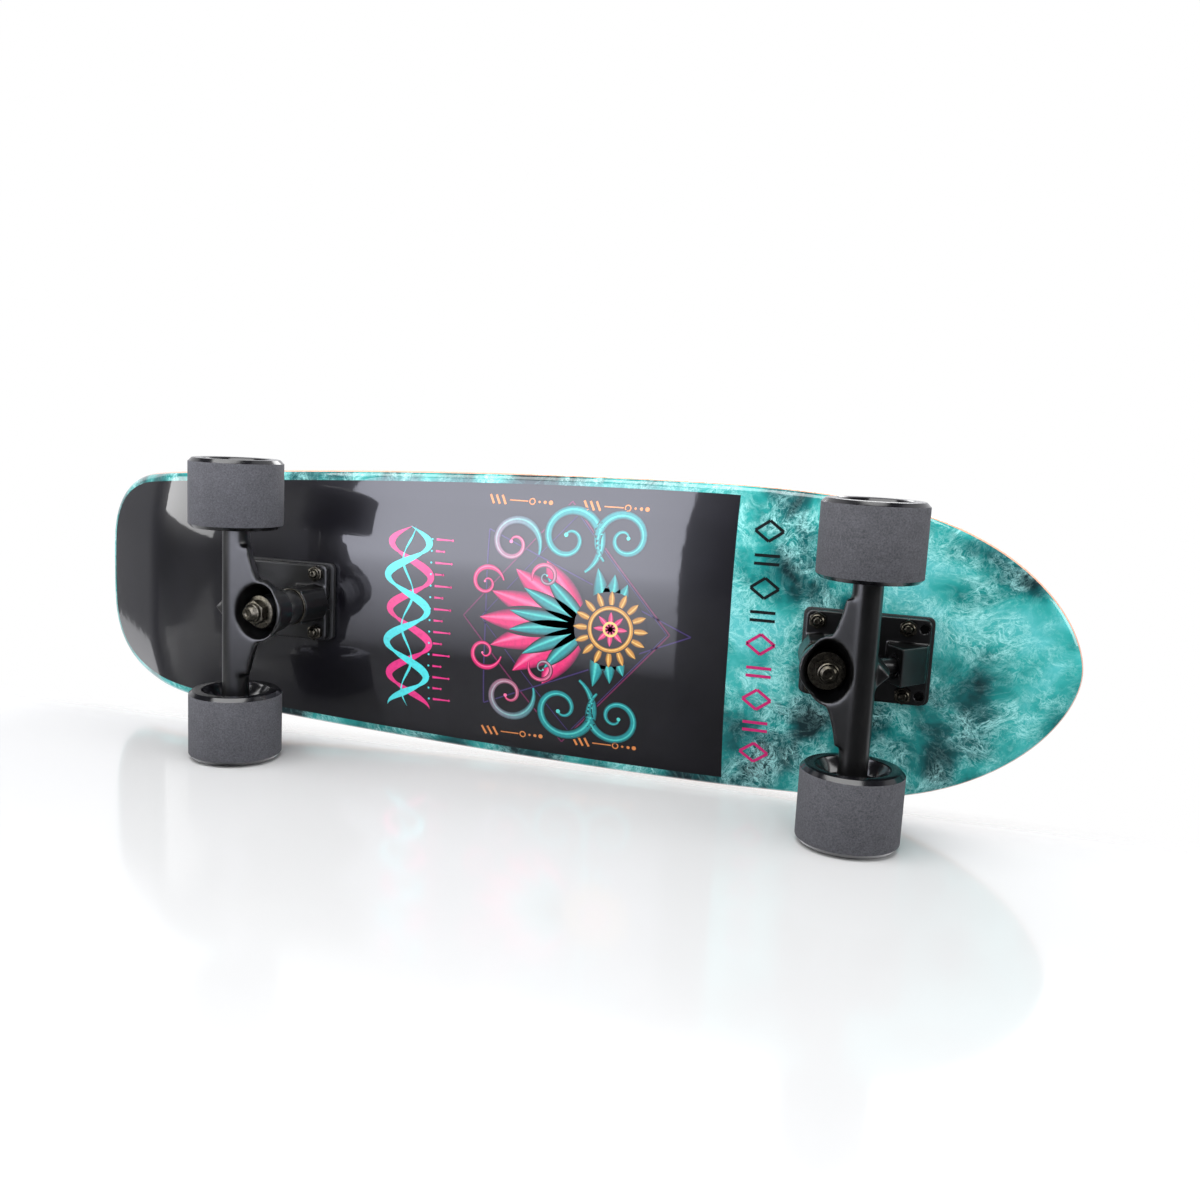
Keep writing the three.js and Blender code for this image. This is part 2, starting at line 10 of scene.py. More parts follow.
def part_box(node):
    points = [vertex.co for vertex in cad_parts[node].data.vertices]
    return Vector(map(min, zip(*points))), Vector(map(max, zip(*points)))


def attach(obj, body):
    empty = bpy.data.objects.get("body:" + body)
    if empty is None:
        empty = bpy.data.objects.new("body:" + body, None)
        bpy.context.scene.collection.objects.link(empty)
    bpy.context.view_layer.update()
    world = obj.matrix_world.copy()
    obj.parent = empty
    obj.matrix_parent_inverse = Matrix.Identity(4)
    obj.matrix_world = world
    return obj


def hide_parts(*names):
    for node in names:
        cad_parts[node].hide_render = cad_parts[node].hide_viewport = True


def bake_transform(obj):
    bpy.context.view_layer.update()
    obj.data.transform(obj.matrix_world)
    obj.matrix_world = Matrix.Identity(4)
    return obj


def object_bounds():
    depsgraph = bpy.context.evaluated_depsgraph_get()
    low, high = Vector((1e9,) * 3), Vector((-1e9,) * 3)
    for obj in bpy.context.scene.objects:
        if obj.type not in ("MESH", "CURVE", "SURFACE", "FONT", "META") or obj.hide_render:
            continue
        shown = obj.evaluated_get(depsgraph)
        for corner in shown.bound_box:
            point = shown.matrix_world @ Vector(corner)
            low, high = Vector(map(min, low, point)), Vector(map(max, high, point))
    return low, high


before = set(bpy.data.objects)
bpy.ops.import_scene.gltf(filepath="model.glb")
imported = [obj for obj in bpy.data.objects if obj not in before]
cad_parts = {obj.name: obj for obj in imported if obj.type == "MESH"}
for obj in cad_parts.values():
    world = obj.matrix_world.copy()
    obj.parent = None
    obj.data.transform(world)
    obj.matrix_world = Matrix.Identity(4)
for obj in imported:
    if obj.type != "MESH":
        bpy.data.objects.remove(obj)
cadBox = [list(map(float, corner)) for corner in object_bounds()]
mm = 0.001
scene = bpy.context.scene
print("frame loaded")

ends = {"front": -1, "rear": 1}  # which way the truck's inboard side points along X
sides = {"left": 1, "right": -1}
upsideDown = Matrix.Rotation(math.pi, 4, "X")


def boxMiddle(node):
    low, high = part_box(node)
    return (Vector(low) + Vector(high)) / 2


axleMiddle = {end: boxMiddle("axle_" + end) for end in ends}
boardMiddle = (axleMiddle["front"].x + axleMiddle["rear"].x) / 2
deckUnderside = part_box("deck")[0][2]


def truckPlace(end):
    # the truck's own frame: origin at the axle, +X inboard, +Z up
    turn = Matrix.Rotation(math.pi if ends[end] < 0 else 0, 4, "Z")
    return Matrix.Translation(axleMiddle[end]) @ turn


kingpinLine = {"tip": (16.8, -13), "tilt": 10.3}


def kingpinPlace(end):
    # origin at the tip of the kingpin's thread, +Z up along the pin
    tip = Matrix.Translation(Vector((kingpinLine["tip"][0], 0, kingpinLine["tip"][1])) * mm)
    return truckPlace(end) @ tip @ Matrix.Rotation(math.radians(kingpinLine["tilt"]), 4, "Y")


def colour(hexText):
    # sRGB hex to linear
    parts = [int(hexText[i:i + 2], 16) / 255 for i in (1, 3, 5)]
    linear = [c / 12.92 if c <= 0.04045 else ((c + 0.055) / 1.055) ** 2.4 for c in parts]
    return (*linear, 1)


def addNode(material, kind, settings=None, links=None):
    node = material.node_tree.nodes.new(kind)
    for key, value in (settings or {}).items():
        if hasattr(node, key) and key not in node.inputs:
            setattr(node, key, value)
        else:
            node.inputs[key].default_value = value
    for key, source in (links or {}).items():
        material.node_tree.links.new(source, node.inputs[key])
    return node


def emptyMaterial(name):
    material = bpy.data.materials.new(name)
    material.use_nodes = True
    material.node_tree.nodes.clear()
    return material


def newMaterial(name, shader):
    material = emptyMaterial(name)
    principled = addNode(material, "ShaderNodeBsdfPrincipled", shader)
    output = addNode(material, "ShaderNodeOutputMaterial")
    material.node_tree.links.new(principled.outputs[0], output.inputs["Surface"])
    return material, principled


def plug(material, source, target):
    material.node_tree.links.new(source, target)


def addRamp(material, factor, stops):
    # stops are (position, hex text or grey level)
    ramp = addNode(material, "ShaderNodeValToRGB", None, {"Fac": factor})
    band = ramp.color_ramp
    while len(band.elements) > 1:
        band.elements.remove(band.elements[-1])
    shades = [colour(value) if isinstance(value, str) else grey(value) for _, value in stops]
    band.elements[0].position = stops[0][0]
    band.elements[0].color = shades[0]
    for (position, _), shade in zip(stops[1:], shades[1:]):
        band.elements.new(position).color = shade
    return ramp.outputs["Color"]


def grey(value):
    return (value, value, value, 1)


def perMm(size):
    # a noise scale whose features are about this many millimetres across
    return 1 / (size * mm)


def objectCoords(material):
    return addNode(material, "ShaderNodeTexCoord").outputs["Object"]


def addNoise(material, coords, size, detail, rough, distortion=0.0):
    settings = {"Scale": perMm(size), "Detail": detail, "Roughness": rough, "Distortion": distortion}
    return addNode(material, "ShaderNodeTexNoise", settings, {"Vector": coords}).outputs["Fac"]


def addBump(material, height, depth, strength=1.0):
    # depth in millimetres
    settings = {"Strength": strength, "Distance": depth * mm}
    return addNode(material, "ShaderNodeBump", settings, {"Height": height}).outputs["Normal"]


def mixColours(material, factor, first, second, blend="MIX"):
    mix = addNode(material, "ShaderNodeMix", {"data_type": "RGBA", "blend_type": blend})
    for socket, value in (("Factor", factor), ("A", first), ("B", second)):
        target = [s for s in mix.inputs if s.name == socket and s.enabled][0]
        if isinstance(value, bpy.types.NodeSocket):
            plug(material, value, target)
        else:
            target.default_value = value
    return [s for s in mix.outputs if s.enabled][0]


def addMath(material, operation, first, second=0.0, clamp=False):
    node = addNode(material, "ShaderNodeMath", {"operation": operation, "use_clamp": clamp})
    for index, value in enumerate((first, second)):
        if isinstance(value, bpy.types.NodeSocket):
            plug(material, value, node.inputs[index])
        else:
            node.inputs[index].default_value = value
    return node.outputs[0]


def times(material, first, second):
    return addMath(material, "MULTIPLY", first, second)


def blended(material, first, second, share):
    # two values added, the second with this share of the whole
    return addMath(material, "ADD", times(material, first, 1 - share), times(material, second, share))


def setBase(material, principled, source):
    plug(material, source, principled.inputs["Base Color"])


def setBump(material, principled, coords, size, detail, depth, strength):
    # a fine noise pressed into the surface
    normal = addBump(material, addNoise(material, coords, size, detail, 0.5), depth, strength)
    plug(material, normal, principled.inputs["Normal"])


def ranged(material, value, start, stop, first, last, kind="LINEAR"):
    # the first output up to the start of the range, going over to the last at its end
    return addNode(material, "ShaderNodeMapRange", {
        "interpolation_type": kind, "From Min": start, "From Max": stop, "To Min": first, "To Max": last,
    }, {"Value": value}).outputs["Result"]


def stepUp(material, value, edge, blur):
    # 0 below the edge and 1 above it, over a short blur
    return ranged(material, value, edge - blur / 2, edge + blur / 2, 0.0, 1.0)


def opposite(material, value):
    return addMath(material, "SUBTRACT", 1.0, value)


# Screen-printed maple under a thick gloss lacquer: deep, wet-looking colour with sharp reflections.
printColours = {
    "abyss": "#00262b", "deep": "#03585a", "mid": "#118481", "shallow": "#2da39f", "pale": "#52babb",
    "foam": "#aeeeec", "panel": "#09080d", "panelSheen": "#0f0e15",
}
rail = {"printWrap": 1.0, "printTop": 5.5, "panelInset": 6.8, "panelNose": 116.5, "ply": 11 / 7}


def bent(material, coords, size, reach, detail):
    # coordinates pushed about by a noise, so that a pattern flows instead of repeating
    settings = {"Scale": perMm(size), "Detail": detail}
    swirl = addNode(material, "ShaderNodeTexNoise", settings, {"Vector": coords})
    centred = addNode(material, "ShaderNodeVectorMath", {"operation": "SUBTRACT"},
                      {0: swirl.outputs["Color"]})
    centred.inputs[1].default_value = (0.5, 0.5, 0.5)
    scaling = {"operation": "SCALE", "Scale": reach * mm}
    push = addNode(material, "ShaderNodeVectorMath", scaling, {0: centred.outputs[0]})
    moved = addNode(material, "ShaderNodeVectorMath", {"operation": "ADD"}, {0: coords, 1: push.outputs[0]})
    return moved.outputs[0]


def threads(material, coords, size, detail, distortion, width):
    # thin bright lines where a noise crosses its middle value
    noise = addNoise(material, coords, size, detail, 0.68, distortion)
    fold = addMath(material, "ABSOLUTE", addMath(material, "SUBTRACT", noise, 0.5))
    return addRamp(material, fold, [(0.0, 1), (width, 0.4), (width * 3.5, 0)])


def oceanPrint(material, flat):
    # deep water showing through slow swells, with foam gathered into drifts of fine threads
    flow = bent(material, flat, 150, 60, 3)
    swell = addNoise(material, flow, 85, 2, 0.45)
    chop = addNoise(material, bent(material, flow, 34, 24, 3), 36, 8, 0.54)
    depth = blended(material, swell, chop, 0.42)
    water = addRamp(material, depth, [
        (0.42, printColours["abyss"]), (0.468, printColours["deep"]),
        (0.515, printColours["mid"]), (0.566, printColours["shallow"]),
        (0.63, printColours["pale"]),
    ])
    where = addRamp(material, addNoise(material, flow, 42, 5, 0.62), [(0.45, 0), (0.57, 1)])
    coarse = threads(material, bent(material, flow, 22, 16, 5), 20, 8, 0.8, 0.012)
    fine = threads(material, bent(material, flow, 9, 8, 4), 7, 6, 1.2, 0.02)
    spray = addRamp(material, addNoise(material, flow, 3.2, 5, 0.8), [(0.5, 0), (0.75, 1)])
    lace = addMath(material, "MAXIMUM", coarse, times(material, fine, 0.6))
    mist = times(material, spray, 0.2)
    drifts = times(material, addMath(material, "ADD", lace, mist, True), where)
    foam = addMath(material, "MAXIMUM", drifts, times(material, coarse, 0.13))
    return mixColours(material, times(material, foam, 0.9), water, colour(printColours["foam"]))


def plyEdge(material, flat, height):
    # pale and pink-dyed veneers in turn, with end grain running along the rail
    band = addMath(material, "MODULO", addMath(material, "DIVIDE", height, rail["ply"] * 2), 1.0)
    layers = addRamp(material, band, [
        (0.0, "#ecd6b2"), (0.47, "#e6cda6"), (0.5, "#a9805a"),
        (0.53, "#e2a488"), (0.97, "#dc9b80"), (1.0, "#a9805a"),
    ])
    grain = addNoise(material, flat, 2.5, 6, 0.7)
    shade = addRamp(material, grain, [(0.3, "#b99a78"), (0.6, 1)])
    return mixColours(material, 0.5, layers, shade, "MULTIPLY")


def lacquerBump(material, flat):
    # the grain telegraphs through the lacquer, long along the board, with a faint orange peel
    stretch = addNode(material, "ShaderNodeMapping", {"Scale": (0.12, 1, 1)}, {"Vector": flat}).outputs[0]
    grain = addNoise(material, stretch, 1.6, 3, 0.6)
    peel = addNoise(material, flat, 7, 2, 0.4)
    mixed = addMath(material, "ADD", times(material, grain, 0.35), peel)
    return addBump(material, mixed, 0.02)


lacquer = {
    "Roughness": 0.3, "IOR": 1.5, "Coat Weight": 1.0, "Coat Roughness": 0.045, "Coat IOR": 1.52,
    "Specular IOR Level": 0.25,
}


def makeDeckMaterial():
    material, principled = newMaterial("lacquered printed maple", lacquer)
    flat = addNode(material, "ShaderNodeUVMap", {"uv_map": "flat"}).outputs[0]
    edge = addNode(material, "ShaderNodeUVMap", {"uv_map": "edge"}).outputs[0]
    split = addNode(material, "ShaderNodeSeparateXYZ", None, {0: edge})
    along = addNode(material, "ShaderNodeSeparateXYZ", None, {0: flat}).outputs[0]
    inset = addMath(material, "DIVIDE", split.outputs[0], mm)
    height = addMath(material, "DIVIDE", split.outputs[1], mm)
    ocean = oceanPrint(material, flat)
    dust = addNoise(material, flat, 40, 4, 0.6)
    panel = addRamp(material, dust, [
        (0.3, printColours["panel"]), (0.7, printColours["panelSheen"]),
    ])
    inside = stepUp(material, inset, rail["panelInset"], 0.25)
    aft = opposite(material, stepUp(material, along, rail["panelNose"] * mm, 0.3 * mm))
    printed = mixColours(material, times(material, inside, aft), ocean, panel)
    bare = plyEdge(material, flat, height)
    wrapped = stepUp(material, inset, rail["printWrap"], 0.2)
    under = opposite(material, stepUp(material, height, rail["printTop"], 0.2))
    setBase(material, principled, mixColours(material, times(material, wrapped, under), bare, printed))
    plug(material, lacquerBump(material, flat), principled.inputs["Coat Normal"])
    return material


def makeInkMaterial():
    # Screen-print ink under the same lacquer, so its gloss runs on without a step.
    material, principled = newMaterial("lacquered screen ink", lacquer)
    flat = addNode(material, "ShaderNodeUVMap", {"uv_map": "flat"}).outputs[0]
    ink = addNode(material, "ShaderNodeAttribute", {"attribute_name": "ink"}).outputs["Color"]
    worn = addRamp(material, addNoise(material, flat, 3, 5, 0.7), [(0.3, 0.62), (0.55, 1)])
    setBase(material, principled, mixColours(material, 0.6, ink, worn, "MULTIPLY"))
    plug(material, lacquerBump(material, flat), principled.inputs["Coat Normal"])
    return material


def makeGripMaterial():
    # Silicon carbide grit on black cloth tape: dead matte, its grains varying in tone, with the sparkle of
    # tiny facets painted in as pale grains.
    grit = {"Roughness": 0.92, "IOR": 1.5, "Specular IOR Level": 0.4}
    material, principled = newMaterial("black abrasive grip", grit)
    coords = objectCoords(material)
    # real grit is about 0.2 mm; it is drawn at 0.6 mm so that it shows
    cells = addNode(material, "ShaderNodeTexVoronoi", {"Scale": perMm(0.6)}, {"Vector": coords})
    grainAndGlintPick = addNode(material, "ShaderNodeSeparateColor", None, {0: cells.outputs["Color"]}).outputs[0]
    # dark grains up to 0.85; the pale grey grains at the top of the ramp are painted glints
    tone = addRamp(material, grainAndGlintPick, [
        (0.0, "#0b0b0c"), (0.85, "#1d1d1f"), (0.97, "#5b5b60"),
    ])
    scuff = addRamp(material, addNoise(material, coords, 90, 6, 0.6), [(0.35, 0.75), (0.7, 1)])
    setBase(material, principled, mixColours(material, 1.0, tone, scuff, "MULTIPLY"))
    plug(material, addBump(material, cells.outputs["Distance"], 0.35, 0.8), principled.inputs["Normal"])
    return material


def makeCoatedCasting():
    # Cast aluminium under satin black powder coat: soft wide highlights and a fine pebble.
    material, principled = newMaterial("satin black powder coat", {"IOR": 1.5, "Specular IOR Level": 0.55})
    coords = objectCoords(material)
    cloud = addNoise(material, coords, 14, 4, 0.6)
    tone = addRamp(material, cloud, [(0.3, "#060607"), (0.7, "#0a0a0b")])
    setBase(material, principled, tone)
    gloss = addRamp(material, addNoise(material, coords, 6, 5, 0.6), [(0.3, 0.3), (0.7, 0.38)])
    plug(material, gloss, principled.inputs["Roughness"])
    setBump(material, principled, coords, 0.9, 3, 0.02, 0.8)
    return material


def makeNickel(name, dark, light, roughness):
    # Plated steel: near-black nickel that brightens in scattered worn patches.
    material, principled = newMaterial(name, {"Metallic": 1.0})
    coords = objectCoords(material)
    wear = addNoise(material, coords, 2.2, 5, 0.65)
    tone = addRamp(material, wear, [(0.3, dark), (0.68, light)])
    setBase(material, principled, tone)
    gloss = addRamp(material, addNoise(material, coords, 1.3, 4, 0.6),
                    [(0.3, roughness), (0.7, roughness + 0.16)])
    plug(material, gloss, principled.inputs["Roughness"])
    setBump(material, principled, coords, 0.7, 3, 0.015, 0.6)
    return material


def makeUrethane(name, dark, light, roughness, fleck, depth):
    # Cast urethane: even colour, with a fine fleck where it is ground or moulded matte.
    material, principled = newMaterial(name, {"IOR": 1.5})
    coords = objectCoords(material)
    cloud = addNoise(material, coords, 9, 5, 0.7)
    flecks = addNoise(material, coords, fleck, 4, 0.85)
    both = blended(material, cloud, flecks, 0.84)
    setBase(material, principled, addRamp(material, both, [(0.36, dark), (0.64, light)]))
    gloss = addRamp(material, flecks, [(0.3, roughness - 0.05), (0.7, roughness + 0.07)])
    plug(material, gloss, principled.inputs["Roughness"])
    plug(material, addBump(material, flecks, depth, 0.7), principled.inputs["Normal"])
    return material


def makeCladRubber():
    # Moulded rubber riser and bearing seals: matte, slightly dusty black.
    material, principled = newMaterial("moulded black rubber", {"IOR": 1.5, "Roughness": 0.62})
    coords = objectCoords(material)
    dusty = addNoise(material, coords, 5, 6, 0.7)
    tone = addRamp(material, dusty, [(0.3, "#0d0d0e"), (0.75, "#1b1b1d")])
    setBase(material, principled, tone)
    setBump(material, principled, coords, 0.8, 2, 0.03, 0.7)
    return material


finishes = {
    "deck": makeDeckMaterial(),
    "ink": makeInkMaterial(),
    "grip": makeGripMaterial(),
    "casting": makeCoatedCasting(),
    "darkNickel": makeNickel("dark nickel plate", "#26241f", "#5d594f", 0.24),
    "ground": makeNickel("ground bearing steel", "#8c8d92", "#c3c4c8", 0.2),
    "rubber": makeCladRubber(),
    "bushing": makeUrethane("black bushing urethane", "#0b0b0c", "#151517", 0.4, 0.8, 0.02),
    "tread": makeUrethane("ground grey urethane", "#343438", "#5b5b60", 0.88, 1.1, 0.1),
    "side": makeUrethane("gloss black urethane", "#08080a", "#101014", 0.16, 3.0, 0.01),
}
print("materials made")


def newPiece(name, bm, materials):
    mesh = bpy.data.meshes.new(name)
    bm.to_mesh(mesh)
    bm.free()
    for material in materials:
        mesh.materials.append(material)
    piece = bpy.data.objects.new(name, mesh)
    scene.collection.objects.link(piece)
    return piece


def finishPiece(name, bm, body, materials, replaced=(), sharpDegrees=40, place=None):
    bmesh.ops.remove_doubles(bm, verts=bm.verts, dist=1e-6)
    bmesh.ops.recalc_face_normals(bm, faces=bm.faces)
    if place is not None:
        bmesh.ops.transform(bm, matrix=place, verts=bm.verts)
    piece = newPiece(name, bm, materials)
    piece.data.shade_smooth()
    piece.data.set_sharp_from_angle(angle=math.radians(sharpDegrees))
    if body:
        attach(piece, body)
    if replaced:
        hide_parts(*replaced)
    return piece


def steelPiece(name, bm, body, replaced, place, sharpDegrees=30):
    return finishPiece(name, bm, body, [finishes["darkNickel"]], replaced, sharpDegrees, place)


def spunProfile(bm, profile, steps=48, closed=False):
    # profile is [radius, height] in millimetres, turned about Z
    verts = [bm.verts.new((r * mm, 0, z * mm)) for r, z in profile]
    edges = [bm.edges.new(pair) for pair in zip(verts, verts[1:])]
    if closed:
        edges.append(bm.edges.new((verts[-1], verts[0])))
    bmesh.ops.spin(bm, geom=verts + edges, cent=(0, 0, 0), axis=(0, 0, 1), dvec=(0, 0, 0),
                   angle=2 * math.pi, steps=steps, use_merge=True, use_duplicate=False)
    bmesh.ops.remove_doubles(bm, verts=bm.verts, dist=1e-6)


def threaded(radius, start, length, pitch=1.0, depth=0.45):
    # rings in place of a helix: [radius, height] points up the outside
    points = []
    for i in range(int(length / pitch)):
        base = start + i * pitch
        points += [(radius - depth, base), (radius, base + pitch * 0.45), (radius, base + pitch * 0.6)]
    points.append((radius - depth, start + int(length / pitch) * pitch))
    return points


def fromFlat(angle):
    # the angle from the middle of a hexagon's nearest flat
    return (angle + math.pi / 6) % (math.pi / 3) - math.pi / 6


def hexLoop(bm, flats, height, radiusAt=None):
    # a circle pulled out to a hexagon, or left as a circle of its own radius
    ring = bmesh.ops.create_circle(bm, cap_ends=False, radius=1.0, segments=36)["verts"]
    for vert in ring:
        angle = math.atan2(vert.co.y, vert.co.x)
        if flats:
            radius = flats / 2 / math.cos(fromFlat(angle))
        else:
            radius = radiusAt
        z = height(radius) if callable(height) else height
        vert.co = Vector((radius * math.cos(angle), radius * math.sin(angle), z)) * mm
    return list({e for v in ring for e in v.link_edges})


def makeNut(bm, flats, height, bore, collar, collarRadius):
    # chamfered hexagon with a bore, and a round locking collar on its +Z end
    half = flats / 2
    chamfer = lambda r: (r - half * 0.97) * 0.45
    body = height - collar
    loops = [
        hexLoop(bm, 0, 0.5, bore), hexLoop(bm, 0, 0.0, bore + 0.5), hexLoop(bm, 0, 0.0, half * 0.95),
        hexLoop(bm, flats, lambda r: max(0.0, chamfer(r))),
        hexLoop(bm, flats, lambda r: body - max(0.0, chamfer(r))),
        hexLoop(bm, 0, body, half * 0.95), hexLoop(bm, 0, body, collarRadius),
        hexLoop(bm, 0, height - 0.5, collarRadius), hexLoop(bm, 0, height, collarRadius - 0.6),
        hexLoop(bm, 0, height, bore + 0.5), hexLoop(bm, 0, height - 0.5, bore),
    ]
    for lower, upper in zip(loops, loops[1:] + loops[:1]):
        bmesh.ops.bridge_loops(bm, edges=lower + upper)


def softCasting(bm, node, voxel, passes):
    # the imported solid's surface, rebuilt finely and relaxed until its edges are as round as a casting's
    bm.from_mesh(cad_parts[node].data)
    bmesh.ops.remove_doubles(bm, verts=bm.verts, dist=1e-5)
    rough = bpy.data.meshes.new("rough")
    bm.to_mesh(rough)
    bm.clear()
    holder = bpy.data.objects.new("rough", rough)
    scene.collection.objects.link(holder)
    remesh = holder.modifiers.new("remesh", "REMESH")
    remesh.mode = "VOXEL"
    remesh.voxel_size = voxel * mm
    made = bpy.data.meshes.new_from_object(holder.evaluated_get(bpy.context.evaluated_depsgraph_get()))
    bm.from_mesh(made)
    bpy.data.objects.remove(holder)
    bpy.data.meshes.remove(made)
    bpy.data.meshes.remove(rough)
    for _ in range(passes):
        bmesh.ops.smooth_vert(bm, verts=bm.verts, factor=0.5,
                              use_axis_x=True, use_axis_y=True, use_axis_z=True)


deck = {
    "nose": 328.5, "tail": 415.5, "tailEnd": 9, "tailRoot": 80.2, "half": 100, "widest": 97,
    "thick": 11, "round": 4.4, "roundSteps": 6, "flatHalf": 28, "rise": 12, "fade": (135, 270),
    "kickStart": 265, "kickRadius": 122, "kickAngle": 32.5,
}
grip = {"inset": 1.7, "low": 0.06, "high": 0.86}


def halfOutline():
    tail, nose, wide, root = -deck["tail"], deck["nose"], deck["half"], deck["tailRoot"]
    curves = [
        [(tail, deck["tailEnd"]), (tail, root - 23), (tail + 23, root - 5), (tail + 73, root)],
        [(tail + 73, root), (tail + 128, root + 5), (deck["widest"] - 180, wide), (deck["widest"], wide)],
        [(deck["widest"], wide), (deck["widest"] + 50, wide),
         (nose - 133, wide - 3), (nose - 106, wide - 9.2)],
        [(nose - 106, wide - 9.2), (nose - 28, wide - 27.2), (nose, 25), (nose, 0)],
    ]
    points = []
    for curve in curves:
        knots = [Vector((x, y, 0)) for x, y in curve]
        run = interpolate_bezier(knots[0], knots[1], knots[2], knots[3], 25)
        points += run if not points else run[1:]
    return points


def deckRise(x, y):
    across = max(0, abs(y) - deck["flatHalf"]) / (deck["half"] - deck["flatHalf"])
    t = min(max((x - deck["fade"][0]) / (deck["fade"][1] - deck["fade"][0]), 0), 1)
    return deck["rise"] * (1 - t * t * (3 - 2 * t)) * across ** 2


def pressed(x, y, height):
    # a point of the flat blank, bent round the kick and dished; millimetres in, metres out
    z = height + deckRise(x, y)
    past = -deck["kickStart"] - x
    if past > 0:
        radius = deck["kickRadius"]
        turn = min(past / radius, math.radians(deck["kickAngle"]))
        straight = past - turn * radius
        reach = radius - z
        x = -deck["kickStart"] - reach * math.sin(turn) - straight * math.cos(turn)
        z = radius - reach * math.cos(turn) + straight * math.sin(turn)
    return Vector((boardMiddle + x * mm, y * mm, deckUnderside + z * mm))


def railHeight(inset):
    # how far the rounded rail has come out of the middle plane at this distance from the outline
    r = deck["round"]
    drop = r - math.sqrt(r * r - (r - inset) ** 2) if inset < r else 0
    return deck["thick"] / 2 - drop


def addShell(bm, insetLayer, rings, upward):
    # a face over the outline, inset ring by ring; rings are (distance from the outline, height).
    # The faces outside the first ring are returned, for a sheet that starts at that ring.
    left = halfOutline()
    loop = left + [Vector((p.x, -p.y, 0)) for p in reversed(left[:-1])]
    verts = [bm.verts.new(p * mm) for p in loop]
    face = bm.faces.new(verts if not upward else list(reversed(verts)))
    bm.normal_update()
    if (face.normal.z > 0) != upward:
        face.normal_flip()
        bm.normal_update()
    sign = 1 if upward else -1
    inset = 0.0
    outermost = []
    for ringInset, ringHeight in rings:
        made = bmesh.ops.inset_region(bm, faces=[face], thickness=(ringInset - inset) * mm,
                                      depth=0.0, use_even_offset=True, use_boundary=True)["faces"]
        outermost = outermost or made
        for vert in face.verts:
            vert.co.z = sign * ringHeight * mm
            vert[insetLayer] = ringInset
        inset = ringInset
    return outermost


def blankBetween(lowRings, highRings, keepRim):
    # the flat blank between two shells, with its rim of faces kept or taken off
    bm = bmesh.new()
    layer = bm.verts.layers.float.new("inset")
    rim = addShell(bm, layer, lowRings, False) + addShell(bm, layer, highRings, True)
    if not keepRim:
        bmesh.ops.delete(bm, geom=rim, context="FACES")
    bmesh.ops.remove_doubles(bm, verts=bm.verts, dist=2e-6)
    cutForBending(bm)
    for vert in bm.verts:
        vert.co.z += deck["thick"] / 2 * mm
    storeMaps(bm, layer)
    for vert in bm.verts:
        vert.co = pressed(*(vert.co / mm))
    return bm


def cutForBending(bm):
    x = -deck["tail"] + 5
    while x < deck["nose"]:
        geom = bm.verts[:] + bm.edges[:] + bm.faces[:]
        bmesh.ops.bisect_plane(bm, geom=geom, dist=1e-7, plane_co=(x * mm, 0, 0), plane_no=(1, 0, 0))
        x += 6 if x < -deck["kickStart"] + 10 else 14
    for y in range(-96, 97, 6):
        geom = bm.verts[:] + bm.edges[:] + bm.faces[:]
        bmesh.ops.bisect_plane(bm, geom=geom, dist=1e-7, plane_co=(0, y * mm, 0), plane_no=(0, 1, 0))


def storeMaps(bm, layer):
    flatMap = bm.loops.layers.uv.new("flat")
    edgeMap = bm.loops.layers.uv.new("edge")
    for face in bm.faces:
        for loop in face.loops:
            point = loop.vert.co
            loop[flatMap].uv = (point.x, point.y)
            loop[edgeMap].uv = (loop.vert[layer] * mm, point.z)


def makeDeck():
    r = deck["round"]
    arc = [r * (1 - math.cos(i / deck["roundSteps"] * math.pi / 2)) for i in range(deck["roundSteps"] + 1)]
    rings = [(max(a, 0.001), railHeight(a)) for a in arc]
    rings += [(rail["panelInset"] - 0.2, deck["thick"] / 2), (rail["panelInset"] + 0.2, deck["thick"] / 2)]
    bm = blankBetween(rings, rings, True)
    finishPiece("pressed_deck", bm, "deck", [finishes["deck"]], ["deck"], 60)


def makeGrip():
    first = grip["inset"]
    spots = [first, first + 0.25, 3.0, deck["round"], 9.0]
    edge = (first, railHeight(first) + (grip["low"] + grip["high"]) / 2)
    top = [edge] + [(d, railHeight(d) + grip["high"]) for d in spots[1:]]
    low = [edge] + [(d, railHeight(d) + grip["low"]) for d in spots[1:]]
    bm = blankBetween([(d, -h) for d, h in low], top, False)
    finishPiece("grip_sheet", bm, "deck", [finishes["grip"]], ["grip_tape"], 50)


ink = {
    "level": -0.14, "layer": 0.018, "line": "#08080c",
    "teal": ["#0b3f45", "#1d8f93", "#54d3cb"], "pink": ["#5b0f3a", "#e0246f", "#ff7aa8"],
    "gold": ["#5a3210", "#c98a2c", "#f3cd74"], "orange": "#e08b4a", "cyan": "#4fe3e8", "magenta": "#ea2f86",
    "faintPink": "#6d1f4d", "faintViolet": "#3c2c63",
}


def inkTones(three, edge=0.84):
    # black outline, shaded side, body, bright streak
    dark, body, bright = three
    line = ink["line"]
    return [(-1, line), (-edge, line), (-edge + 0.01, dark), (-0.45, body), (-0.1, body), (0.15, bright),
            (0.4, body), (edge - 0.01, dark), (edge, line), (1, line)]


def plainTones(tone):
    return [(-1, tone), (1, tone)]


